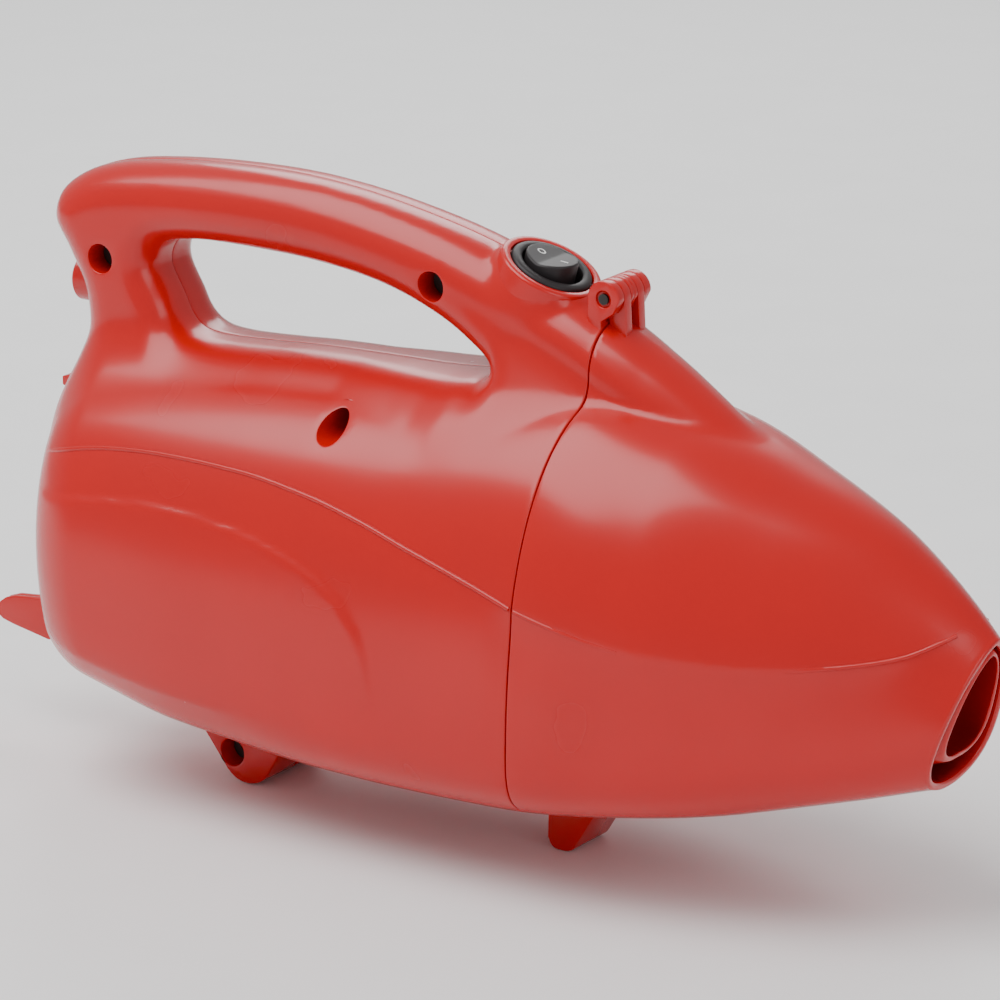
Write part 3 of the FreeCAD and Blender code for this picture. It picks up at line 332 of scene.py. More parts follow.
    def land(self, p: np.ndarray, along: np.ndarray, level: float = 0.0, rounds: int = 6) -> np.ndarray:
        """Moves points along given directions until they meet the surface.

        Args:
            p: starting points.
            along: one unit direction for all points, or one each.
            level: distance from the surface to stop at.
            rounds: refinement rounds.

        Returns:
            The moved points.
        """
        p, along = p.copy(), np.broadcast_to(along, p.shape)
        for _ in range(rounds):
            here, ahead = self(p) - level, self(p + 0.1 * along) - level
            slope = (ahead - here) / 0.1
            step = -here / np.where(np.abs(slope) < 0.15, np.where(slope < 0, -0.15, 0.15), slope)
            p += np.clip(step, -6, 6)[:, None] * along
        return p

    def side_points(self, xz: np.ndarray, side: Side) -> np.ndarray:
        """Surface points on one flank at given (x, z)."""
        start = np.stack([xz[:, 0], np.full(len(xz), 50.0 * side.value), xz[:, 1]], 1)
        for _ in range(40):
            start[:, 1] -= side.value * np.clip(self(start), -3, 8) * 0.8
        return self.land(start, np.array([0.0, 1.0, 0.0]), rounds=4)


# ------------------------------------------------------------------ meshing a distance field
@dataclass
class Skin:
    """Points in millimetres and faces by index."""

    points: np.ndarray
    faces: list[tuple[int, ...]]

    def mirrored(self) -> "Skin":
        """The skin reflected in y = 0."""
        return Skin(self.points * np.array([1, -1, 1]), [f[::-1] for f in self.faces])

    @staticmethod
    def joined(skins: Iterable["Skin"]) -> "Skin":
        """Several skins as one, not welded."""
        points, faces, start = [], [], 0
        for skin in skins:
            points.append(skin.points)
            faces += [tuple(i + start for i in f) for f in skin.faces]
            start += len(skin.points)
        return Skin(np.vstack(points), faces)


@dataclass
class SkinNet:
    """Meshes the zero surface of a field on an even grid."""

    cell: float = 1.3
    coarse: int = 4

    def build(self, shape: Callable[[np.ndarray], np.ndarray], low: Sequence[float],
              high: Sequence[float]) -> Skin:
        """Finds the surface inside a box.

        Args:
            shape: the distance field.
            low: lowest corner of the box.
            high: highest corner of the box.

        Returns:
            Quads on the surface, open where it leaves the box.
        """
        origin, wide = np.array(low, float), self.cell * self.coarse
        count = np.ceil((np.array(high) - origin) / wide).astype(int) + 1
        axes = [origin[i] + wide * np.arange(count[i]) for i in range(3)]
        rough = shape(np.stack(np.meshgrid(*axes, indexing="ij"), -1).reshape(-1, 3)).reshape(count)
        near = np.abs(rough) < wide * 1.7
        cells = np.zeros(count - 1, bool)
        for i, j, k in np.ndindex(2, 2, 2):
            cells |= near[i:count[0] - 1 + i, j:count[1] - 1 + j, k:count[2] - 1 + k]
        fine = (count - 1) * self.coarse + 1
        values, band = rough, cells
        for axis in range(3):
            values, band = np.repeat(values, self.coarse, axis), np.repeat(band, self.coarse, axis)
        values = values[:fine[0], :fine[1], :fine[2]].copy()
        near = np.zeros(fine, bool)
        near[:band.shape[0], :band.shape[1], :band.shape[2]] = band
        for axis in range(3):
            shifted = np.moveaxis(near, axis, 0)
            shifted[1:] |= shifted[:-1].copy()
        where = np.argwhere(near)
        spots = where * self.cell + origin
        found = np.empty(len(spots))
        for start in range(0, len(spots), 300000):
            found[start:start + 300000] = shape(spots[start:start + 300000])
        values[near] = found
        return self.net(values, origin)

    def net(self, values: np.ndarray, origin: np.ndarray) -> Skin:
        """One point in each crossed cell, one quad round each crossed edge."""
        inside = values < 0
        sizes = np.array(values.shape) - 1

        def corner(a: np.ndarray, c: tuple[int, int, int]) -> np.ndarray:
            """The block of cell corners at one offset."""
            return a[c[0]:c[0] + sizes[0], c[1]:c[1] + sizes[1], c[2]:c[2] + sizes[2]]
        corners = list(np.ndindex(2, 2, 2))
        filled = sum(corner(inside, c).astype(np.int8) for c in corners)
        active = (filled > 0) & (filled < 8)
        index = np.argwhere(active)
        number = -np.ones(sizes, np.int64)
        number[active] = np.arange(len(index))
        total, hits = np.zeros((len(index), 3)), np.zeros(len(index))
        for a in corners:
            for axis in range(3):
                if a[axis]:
                    continue
                b = tuple(1 if i == axis else a[i] for i in range(3))
                fa = values[tuple((index + a).T)]
                fb = values[tuple((index + b).T)]
                crossed = (fa < 0) != (fb < 0)
                place = np.tile(np.array(a, float), (len(index), 1))
                place[:, axis] += np.where(crossed, fa / np.where(fa == fb, 1, fa - fb), 0)
                total += place * crossed[:, None]
                hits += crossed
        points = (index + total / hits[:, None]) * self.cell + origin
        quads = []
        for axis in range(3):
            u, v = (i for i in range(3) if i != axis)
            first, second = [slice(None)] * 3, [slice(None)] * 3
            first[axis], second[axis] = slice(0, -1), slice(1, None)
            edge = np.argwhere(inside[tuple(first)] != inside[tuple(second)])
            keep = ((edge[:, u] > 0) & (edge[:, v] > 0) & (edge[:, u] < inside.shape[u] - 1)
                    & (edge[:, v] < inside.shape[v] - 1))
            edge = edge[keep]
            ring = []
            for du, dv in ((1, 1), (0, 1), (0, 0), (1, 0)):
                cell = edge.copy()
                cell[:, u] -= du
                cell[:, v] -= dv
                ring.append(number[tuple(cell.T)])
            quad = np.stack(ring, 1)
            starts_inside = inside[tuple(edge.T)]
            outward = starts_inside if axis != 1 else ~starts_inside
            quad[~outward] = quad[~outward][:, ::-1]
            quads.append(quad)
        return Skin(points, [tuple(q) for q in np.concatenate(quads).tolist()])


@dataclass
class Plane:
    """A cut through a skin, with the radius its moulded edge is rounded to."""

    point: np.ndarray
    normal: np.ndarray
    radius: float

    def height(self, p: np.ndarray) -> np.ndarray:
        """How far points lie past the line where the rounding starts."""
        return (p - self.point) @ self.normal + self.radius


@dataclass
class ScrewWell:
    """A deep round recess for a screw, driven along +y."""

    x: float
    z: float
    radius: float = 4.2
    rim: float = 0.4
    floor: float = -6.0


class ShellMaker:
    """Turns an open skin into a closed moulded wall with rounded edges and screw wells."""

    EDGE_STEPS = 4

    def __init__(self, form: BlowerForm, wall: float = 2.4) -> None:
        """Keeps the form.

        Args:
            form: the surface the skin lies on.
            wall: wall thickness.
        """
        self.form, self.wall = form, wall

    def trim(self, skin: Skin, planes: Sequence[Plane], cell: float) -> Skin:
        """Cuts a skin by planes, keeping the side behind each.

        Args:
            skin: the skin to cut.
            planes: the cuts.
            cell: grid cell, which sets how far points are drawn onto a cut.

        Returns:
            The trimmed skin.
        """
        points = skin.points.copy()
        for plane in planes:
            off = plane.height(points)
            close = np.abs(off) < 0.4 * cell
            moved = points[close] - off[close, None] * plane.normal
            along = self.form.normal(moved)
            along -= (along @ plane.normal)[:, None] * plane.normal
            along /= np.maximum(np.linalg.norm(along, axis=1), 1e-6)[:, None]
            points[close] = self.form.land(moved, along, rounds=2)
        mesh = bpy.data.meshes.new("trim")
        mesh.from_pydata(points.tolist(), [], skin.faces)
        bm = bmesh.new()
        bm.from_mesh(mesh)
        for plane in planes:
            bmesh.ops.bisect_plane(bm, geom=bm.verts[:] + bm.edges[:] + bm.faces[:], dist=1e-4,
                                   plane_co=plane.point - plane.radius * plane.normal, plane_no=plane.normal,
                                   clear_outer=True)
        bmesh.ops.delete(bm, geom=[v for v in bm.verts if not v.link_faces], context="VERTS")
        bm.verts.index_update()
        out = Skin(np.array([v.co[:] for v in bm.verts]), [tuple(v.index for v in f.verts) for f in bm.faces])
        bm.free()
        bpy.data.meshes.remove(mesh)
        return out

    @staticmethod
    def border(faces: Sequence[tuple[int, ...]]) -> list[tuple[int, int]]:
        """Edges with a face on one side only, in that face's direction."""
        once: dict[tuple[int, int], tuple[int, int]] = {}
        for face in faces:
            for a, b in zip(face, face[1:] + face[:1]):
                key = (a, b) if a < b else (b, a)
                if key in once:
                    del once[key]
                else:
                    once[key] = (a, b)
        return list(once.values())

    def shell(self, skin: Skin, planes: Sequence[Plane], wells: Sequence[ScrewWell] = (),
              open_at: Optional[Callable[[np.ndarray], np.ndarray]] = None, weld: bool = False) -> Skin:
        """Closes a trimmed skin into a wall.

        Args:
            skin: the trimmed skin.
            planes: the cuts whose edges are rounded.
            wells: screw recesses sunk from the outer skin.
            open_at: tells which face centres lie in an opening through the wall.
            weld: whether the skin is half of a piece that is mirrored and welded at y = 0.

        Returns:
            One closed skin.
        """
        points, faces = skin.points, skin.faces
        if open_at is not None:
            centres = np.array([points[list(f)].mean(0) for f in faces])
            faces = [f for f, gone in zip(faces, open_at(centres)) if not gone]
        border = self.border(faces)
        rim = sorted({i for edge in border for i in edge})
        normals = self.form.normal(points)
        offset, push, size = np.zeros_like(points), normals.copy(), np.full(len(points), 0.0)
        for plane in planes:
            on = np.zeros(len(points), bool)
            on[rim] = np.abs(plane.height(points[rim])) < 2e-3
            offset[on] += plane.normal * plane.radius
            push[on] -= (push[on] @ plane.normal)[:, None] * plane.normal
            size[on] = np.maximum(size[on], plane.radius)
        if weld:
            middle = np.abs(points[:, 1]) < 1e-3
            push[middle, 1] = 0
        push /= np.maximum(np.linalg.norm(push, axis=1), 1e-6)[:, None]
        inner = points - self.wall * push
        if weld:
            inner[:, 1] = np.where(middle, 0, np.minimum(inner[:, 1], 0))
        wells_faces, well_skins = self.sink(points, faces, wells)
        outer_faces = [f for f in faces if f not in wells_faces]
        boss_skins = self.bosses(inner, wells_faces, wells)
        count = len(points)
        all_points = [points]
        level = {}
        rings = [(math.sin(t), 1 - math.cos(t), 0.0) for t in
                 (math.pi / 2 * k / self.EDGE_STEPS for k in range(1, self.EDGE_STEPS + 1))]
        rings += [(math.sin(t), 1 - math.cos(t), 1.0) for t in
                  (math.pi / 2 * k / self.EDGE_STEPS for k in range(self.EDGE_STEPS, 0, -1))]
        rim_array = np.array(rim)
        where = {v: i for i, v in enumerate(rim)}
        for k, (out, drop, from_inner) in enumerate(rings):
            depth = size[rim_array] * drop
            depth = np.where(from_inner > 0, self.wall - depth, depth)
            ring = points[rim_array] + offset[rim_array] * out - push[rim_array] * depth[:, None]
            if weld:
                ring[:, 1] = np.where(middle[rim_array], 0, np.minimum(ring[:, 1], 0))
            level[k] = count
            all_points.append(ring)
            count += len(ring)
        inner_start = count
        all_points.append(inner)
        new_faces = list(outer_faces)
        for a, b in border:
            if weld and middle[a] and middle[b]:
                continue
            low, high = (a, b), None
            for k in range(len(rings)):
                high = (level[k] + where[a], level[k] + where[b])
                new_faces.append((low[1], low[0], high[0], high[1]))
                low = high
            new_faces.append((low[1], low[0], inner_start + a, inner_start + b))
        new_faces += [tuple(i + inner_start for i in f[::-1]) for f in outer_faces]
        solid = Skin(np.vstack(all_points), new_faces)
        for boss in boss_skins:
            start = len(solid.points)
            solid.points = np.vstack([solid.points, boss.points])
            solid.faces += [tuple(i + inner_start if i < len(points) else i - len(points) + start for i in f)
                            for f in boss.faces]
        for well in well_skins:
            start = len(solid.points)
            solid.points = np.vstack([solid.points, well.points])
            solid.faces += [tuple(i if i < len(points) else i - len(points) + start for i in f)
                            for f in well.faces]
        return solid

    def bosses(self, inner: np.ndarray, taken: set[tuple[int, ...]],
               wells: Sequence[ScrewWell]) -> list[Skin]:
        """The outside of each well's wall, standing in the hollow.

        Args:
            inner: the inner skin's points, whose rim points move onto the boss.
            taken: faces left out of both skins.
            wells: the wells.

        Returns:
            One skin for each well, whose first indices are the inner skin's.
        """
        skins: list[Skin] = []
        for well in wells:
            near = [f for f in taken
                    if np.hypot(inner[f[0], 0] - well.x, inner[f[0], 2] - well.z) < 3 * well.radius]
            border = self.border(near)
            rim = sorted({i for edge in border for i in edge})
            angle = np.arctan2(inner[rim, 2] - well.z, inner[rim, 0] - well.x)
            wide = well.radius + 1.9
            inner[rim, 0], inner[rim, 2] = well.x + wide * np.cos(angle), well.z + wide * np.sin(angle)
            foot = inner[rim].copy()
            foot[:, 1] = well.floor + 1.4
            where, base = {v: i for i, v in enumerate(rim)}, len(inner)
            faces: list[tuple[int, ...]] = []
            for a, b in border:
                faces.append((b, a, base + where[a], base + where[b]))
                faces.append((base + where[b], base + where[a], base + len(rim)))
            skins.append(Skin(np.vstack([foot, [[well.x, well.floor + 1.4, well.z]]]), faces))
        return skins

    def sink(self, points: np.ndarray, faces: Sequence[tuple[int, ...]],
             wells: Sequence[ScrewWell]) -> tuple[set[tuple[int, ...]], list[Skin]]:
        """Opens the outer skin at each well and lofts the well down from a clean round rim.

        Args:
            points: the outer skin's points, whose rim points move onto the circle.
            faces: the outer skin's faces.
            wells: the wells.

        Returns:
            The faces taken out, and a skin for each well whose first indices are the outer skin's.
        """
        gone: set[tuple[int, ...]] = set()
        skins: list[Skin] = []
        for well in wells:
            reach = np.hypot(points[:, 0] - well.x, points[:, 2] - well.z)
            inside = (reach < well.radius + well.rim + 0.35) & (points[:, 1] < -8)
            taken = [f for f in faces if any(inside[i] for i in f)]
            gone.update(taken)
            border = self.border(taken)
            rim = sorted({i for edge in border for i in edge})
            angle = np.arctan2(points[rim, 2] - well.z, points[rim, 0] - well.x)

            def circle(radius: float) -> np.ndarray:
                """The rim's points at a radius about the well, on the surface."""
                flat = np.stack([well.x + radius * np.cos(angle), points[rim, 1],
                                 well.z + radius * np.sin(angle)], 1)
                return self.form.land(flat, np.array([0.0, 1.0, 0.0]))

            edge = circle(well.radius + well.rim)
            points[rim] = edge
            rings = []
            for k in range(1, 4):
                turn = math.pi / 2 * k / 3
                ring = circle(well.radius + well.rim * (1 - math.sin(turn)))
                ring[:, 1] += well.rim * (1 - math.cos(turn))
                rings.append(ring)
            start_y = rings[-1][:, 1]
            for share in (0.3, 0.65, 1.0):
                ring = rings[2].copy()
                ring[:, 1] = start_y + (well.floor - start_y) * share
                rings.append(ring)
            floor = rings[-1].copy()
            floor[:, 0] = well.x + (floor[:, 0] - well.x) * 0.45
            floor[:, 2] = well.z + (floor[:, 2] - well.z) * 0.45
            rings.append(floor)
            where = {v: i for i, v in enumerate(rim)}
            base, width = len(points), len(rim)
            out: list[tuple[int, ...]] = []
            for a, b in border:
                low = (a, b)
                for k in range(len(rings)):
                    high = (base + k * width + where[a], base + k * width + where[b])
                    out.append((low[0], low[1], high[1], high[0]))
                    low = high
                out.append((low[0], low[1], base + len(rings) * width))
            centre = np.array([[well.x, well.floor, well.z]])
            skins.append(Skin(np.vstack(rings + [centre]), out))
        return gone, skins


# ------------------------------------------------------------------ small solid pieces
def arc(centre: tuple[float, float], radius: float, start: float, end: float,
        steps: int) -> list[tuple[float, float]]:
    """Points on a circle's arc.

    Args:
        centre: the circle's centre.
        radius: its radius.
        start: first angle, in degrees.
        end: last angle, in degrees.
        steps: how many steps the arc is cut into.

    Returns:
        The points in order.
    """
    angles = [math.radians(start + (end - start) * k / steps) for k in range(steps + 1)]
    return [(centre[0] + radius * math.cos(a), centre[1] + radius * math.sin(a)) for a in angles]


def slab(outline: Outline, y0: float, y1: float, bevel: float,
         holes: Sequence[tuple[float, float, float, float, float]] = ()) -> Skin:
    """A plate from an outline in the x-z plane, with bevelled edges and round holes.

    Args:
        outline: corners of the plate.
        y0: lower face.
        y1: upper face.
        bevel: edge rounding.
        holes: (x, z, radius, from y, to y) of each hole.

    Returns:
        The closed plate.
    """
    bm = bmesh.new()
    face = bm.faces.new([bm.verts.new((x, y0, z)) for x, z in outline])
    moved = bmesh.ops.extrude_face_region(bm, geom=[face])["geom"]
    far = [g for g in moved if isinstance(g, bmesh.types.BMVert)]
    bmesh.ops.translate(bm, verts=far, vec=(0, y1 - y0, 0))
    bmesh.ops.recalc_face_normals(bm, faces=bm.faces[:])
    base = bpy.data.meshes.new("slab")
    bm.to_mesh(base)
    bm.free()
    obj = bpy.data.objects.new("slab", base)
    bpy.context.collection.objects.link(obj)
    spare = [obj]
    for x, z, radius, start, end in holes:
        drill = lathe([(start, 0.0), (start, radius), (end, radius), (end, 0.0)], 48,
                      lambda q, x=x, z=z: np.stack([x + q[:, 1], q[:, 0], z + q[:, 2]], 1))
        tool = mesh_object("slab_tool", drill, 1.0)
        cutter = obj.modifiers.new("hole", "BOOLEAN")
        cutter.operation, cutter.object, cutter.solver = "DIFFERENCE", tool, "EXACT"
        spare.append(tool)
    rounding = obj.modifiers.new("round", "BEVEL")
    rounding.width, rounding.segments, rounding.limit_method = bevel, 3, "ANGLE"
    rounding.angle_limit = math.radians(35)
    bpy.context.view_layer.update()
    done = bpy.data.meshes.new_from_object(obj.evaluated_get(bpy.context.evaluated_depsgraph_get()))
    out = Skin(np.array([v.co[:] for v in done.vertices]), [tuple(p.vertices) for p in done.polygons])
    for item in spare:
        bpy.data.objects.remove(item)
    return out


def lathe(profile: Outline, steps: int, place: Callable[[np.ndarray], np.ndarray],
          sector: Optional[tuple[float, float]] = None) -> Skin:
    """A turned piece from a closed profile.

    Args:
        profile: (along the axis, radius) corners; a corner at radius 0 is shared by all steps.
        steps: divisions round the axis.
        place: maps local (axial, across, up) points to the row frame.
        sector: start and end angle in degrees for a part turn, capped at both ends.

    Returns:
        The closed skin.
    """
    start, end = sector or (0.0, 360.0)
    count = steps + 1 if sector else steps
    angles = [math.radians(start + (end - start) * k / steps) for k in range(count)]
    rows, points = [], []
    for along, radius in profile:
        if radius < 1e-9:
            rows.append([len(points)] * count)
            points.append((along, 0.0, 0.0))
        else:
            rows.append(list(range(len(points), len(points) + count)))
            points += [(along, radius * math.cos(a), radius * math.sin(a)) for a in angles]
    faces: list[tuple[int, ...]] = []
    closed = profile[0][1] > 1e-9 or profile[-1][1] > 1e-9 or bool(sector)
    pairs = list(zip(rows, rows[1:] + rows[:1])) if closed else list(zip(rows, rows[1:]))
    for low, high in pairs:
        for k in range(steps):
            n = (k + 1) % count
            face = tuple(dict.fromkeys((low[k], low[n], high[n], high[k])))
            if len(face) > 2:
                faces.append(face)
    if sector:
        faces.append(tuple(dict.fromkeys(r[0] for r in rows)))
        faces.append(tuple(dict.fromkeys(r[-1] for r in reversed(rows))))
    return Skin(place(np.array(points)), faces)


def mesh_object(name: str, skin: Skin, scale: float = MM, sharp: float = 40.0) -> bpy.types.Object:
    """A named object from a skin, with outward normals and smooth faces.

    Args:
        name: the piece's name.
        skin: its points and faces.
        scale: metres for each of its units.
        sharp: edges bent more than this many degrees stay sharp.

    Returns:
        The linked object.
    """
    mesh = bpy.data.meshes.new(name)
    mesh.from_pydata((skin.points * scale).tolist(), [], skin.faces)
    bm = bmesh.new()
    bm.from_mesh(mesh)
    bmesh.ops.remove_doubles(bm, verts=bm.verts[:], dist=2e-3 * scale)
    bmesh.ops.recalc_face_normals(bm, faces=bm.faces[:])
    for face in bm.faces:
        face.smooth = True
    limit = math.radians(sharp)
    for edge in bm.edges:
        edge.smooth = not edge.is_manifold or edge.calc_face_angle(0.0) < limit
    bm.to_mesh(mesh)
    bm.free()
    obj = bpy.data.objects.new(name, mesh)
    bpy.context.collection.objects.link(obj)
    return obj


def raised_line(form: BlowerForm, side: Side, xs: np.ndarray, line: Callable[[np.ndarray], np.ndarray],
                half: float, height: Callable[[np.ndarray], np.ndarray]) -> Skin:
    """A slim moulded bead that follows a line along one flank.

    Args:
        form: the surface it lies on.
        side: which flank.
        xs: stations along x.
        line: z for each x.
        half: half its width.
        height: its height at each station.

    Returns:
        The closed bead, sunk a little into the surface.
    """
    spine = form.side_points(np.stack([xs, line(xs)], 1), side)
    normal = form.normal(spine)
    tangent = np.gradient(spine, axis=0)
    tangent /= np.linalg.norm(tangent, axis=1)[:, None]
    across = np.cross(tangent, normal)
    tall = height(xs)
    section = [(-1.0, -0.25), (-0.75, 0.45), (-0.4, 0.85), (0.0, 1.0), (0.4, 0.85), (0.75, 0.45),
               (1.0, -0.25)]
    rows = [spine + across * (b * half) + normal * np.where(h > 0, tall * h, h)[:, None]
            for b, h in section]
    rows += [spine + across * half - normal * 0.6, spine - across * half - normal * 0.6]
    width, faces = len(xs), []
    for r in range(len(rows)):
        n = (r + 1) % len(rows)
        faces += [(r * width + i, r * width + i + 1, n * width + i + 1, n * width + i)
                  for i in range(width - 1)]
    faces.append(tuple(r * width for r in range(len(rows))))
    faces.append(tuple(r * width + width - 1 for r in reversed(range(len(rows)))))
    return Skin(np.vstack(rows), faces)


# ------------------------------------------------------------------ shader groups and finishes
class NodeTree:
    """Short calls for adding and linking shader nodes."""

    def __init__(self, tree: bpy.types.NodeTree) -> None:
        """Wraps a node tree."""
        self.tree = tree

    def add(self, kind: str, **values: object) -> bpy.types.Node:
        """Adds a node; names with an underscore set properties, the rest set inputs.

        Args:
            kind: the node's type name.
            **values: properties as p_name, inputs by name with spaces as underscores.

        Returns:
            The node.
        """
        node = self.tree.nodes.new(kind)
        for key, value in values.items():
            if key.startswith("p_"):
                setattr(node, key[2:], value)
            elif isinstance(value, bpy.types.NodeSocket):
                self.tree.links.new(value, node.inputs[key.replace("_", " ")])
            else:
                node.inputs[key.replace("_", " ")].default_value = value
        return node

    def link(self, out: bpy.types.NodeSocket, into: bpy.types.NodeSocket) -> None:
        """Links two sockets."""
        self.tree.links.new(out, into)

    def math(self, operation: str, a: object, b: object = 0.0) -> bpy.types.NodeSocket:
        """A Math node on two numbers or sockets."""
        node = self.tree.nodes.new("ShaderNodeMath")
        node.operation = operation
        for i, value in enumerate((a, b)):
            if isinstance(value, bpy.types.NodeSocket):
                self.tree.links.new(value, node.inputs[i])
            else:
                node.inputs[i].default_value = value
        return node.outputs[0]


class SharedEffect:
    """Base of the shader groups: builds each once and hands it out."""

    name = ""
    inputs: dict[str, float] = {}
    outputs: tuple[str, ...] = ()

    @classmethod
    def group(cls) -> bpy.types.NodeTree:
        """The group's tree, built on first use."""
        found = bpy.data.node_groups.get(cls.name)
        if found:
            return found
        tree = bpy.data.node_groups.new(cls.name, "ShaderNodeTree")
        for name, value in cls.inputs.items():
            socket = tree.interface.new_socket(name=name, in_out="INPUT", socket_type="NodeSocketFloat")
            socket.default_value = value
        for name in cls.outputs:
            tree.interface.new_socket(name=name, in_out="OUTPUT", socket_type="NodeSocketFloat")
        nodes = NodeTree(tree)
        cls.fill(nodes, nodes.add("NodeGroupInput"), nodes.add("NodeGroupOutput"))
        return tree

    @classmethod
    def fill(cls, nodes: NodeTree, source: bpy.types.Node, result: bpy.types.Node) -> None:
        """Adds the group's nodes."""
        raise NotImplementedError

    @classmethod
    def use(cls, nodes: NodeTree, **values: float) -> bpy.types.Node:
        """Places the group in a material with its own values."""
        node = nodes.add("ShaderNodeGroup", p_node_tree=cls.group())
        for key, value in values.items():
            node.inputs[key.replace("_", " ")].default_value = value
        return node


class MouldGrain(SharedEffect):
    """Fine orange-peel of a moulded or cast surface, with slow changes of tone."""

    name = "mould_grain"
    inputs = {"Fine Scale": 900.0, "Broad Scale": 26.0}
    outputs = ("Height", "Tone")

    @classmethod
    def fill(cls, nodes: NodeTree, source: bpy.types.Node, result: bpy.types.Node) -> None:
        """Two noises for the height and one for the tone."""
        place = nodes.add("ShaderNodeTexCoord").outputs["Object"]
        fine = nodes.add("ShaderNodeTexNoise", Vector=place, Scale=source.outputs["Fine Scale"], Detail=2.0)
        broad = nodes.add("ShaderNodeTexNoise", Vector=place, Scale=source.outputs["Broad Scale"], Detail=3.0)
        slow = nodes.add("ShaderNodeTexNoise", Vector=place, Scale=90.0, Detail=1.0)
        nodes.link(nodes.math("ADD", fine.outputs["Fac"], nodes.math("MULTIPLY", slow.outputs["Fac"], 2.5)),
                   result.inputs["Height"])
        nodes.link(broad.outputs["Fac"], result.inputs["Tone"])


class HandlingMarks(SharedEffect):
    """Hairline scuffs and a film of dust, as masks."""

    name = "handling_marks"
    inputs = {"Scale": 60.0, "Stretch": 14.0}
    outputs = ("Scuff", "Dust")

    @classmethod
    def fill(cls, nodes: NodeTree, source: bpy.types.Node, result: bpy.types.Node) -> None:
        """A stretched noise for the scuffs and an upward mask for the dust."""
        place = nodes.add("ShaderNodeTexCoord").outputs["Object"]
        split = nodes.add("ShaderNodeSeparateXYZ", Vector=place)
        mixed = nodes.add("ShaderNodeCombineXYZ", X=split.outputs["X"],
                          Y=nodes.math("MULTIPLY", split.outputs["Y"], source.outputs["Stretch"]),
                          Z=nodes.math("MULTIPLY", split.outputs["Z"], source.outputs["Stretch"]))
        hair = nodes.add("ShaderNodeTexNoise", Vector=mixed.outputs[0], Scale=source.outputs["Scale"],
                         Detail=4.0)
        scuff = nodes.add("ShaderNodeMapRange", Value=hair.outputs["Fac"], From_Min=0.66, From_Max=0.74)
        nodes.link(scuff.outputs["Result"], result.inputs["Scuff"])
        up = nodes.add("ShaderNodeSeparateXYZ", Vector=nodes.add("ShaderNodeNewGeometry").outputs["Normal"])
        cloud = nodes.add("ShaderNodeTexNoise", Vector=place, Scale=140.0, Detail=5.0)
        film = nodes.add("ShaderNodeMapRange", Value=up.outputs["Z"], From_Min=0.2, From_Max=1.0)
        dust = nodes.math("MULTIPLY", film.outputs["Result"], cloud.outputs["Fac"])
        nodes.link(dust, result.inputs["Dust"])


class StripePattern(SharedEffect):
    """Even fine bands along one direction, for sheets in a stack, wire in a coil or turning marks."""

    name = "stripe_pattern"
    inputs = {"X": 1.0, "Y": 0.0, "Z": 0.0, "Per Metre": 2000.0}
    outputs = ("Band",)

    @classmethod
    def fill(cls, nodes: NodeTree, source: bpy.types.Node, result: bpy.types.Node) -> None:
        """A sine of the distance along the direction."""
        split = nodes.add("ShaderNodeSeparateXYZ", Vector=nodes.add("ShaderNodeTexCoord").outputs["Object"])
        parts = [nodes.math("MULTIPLY", split.outputs[a], source.outputs[a]) for a in "XYZ"]
        along = nodes.math("ADD", nodes.math("ADD", parts[0], parts[1]), parts[2])
        wave = nodes.math("SINE", nodes.math("MULTIPLY", along, source.outputs["Per Metre"]))
        nodes.link(nodes.math("ADD", nodes.math("MULTIPLY", wave, 0.5), 0.5), result.inputs["Band"])


Colour = tuple[float, float, float]


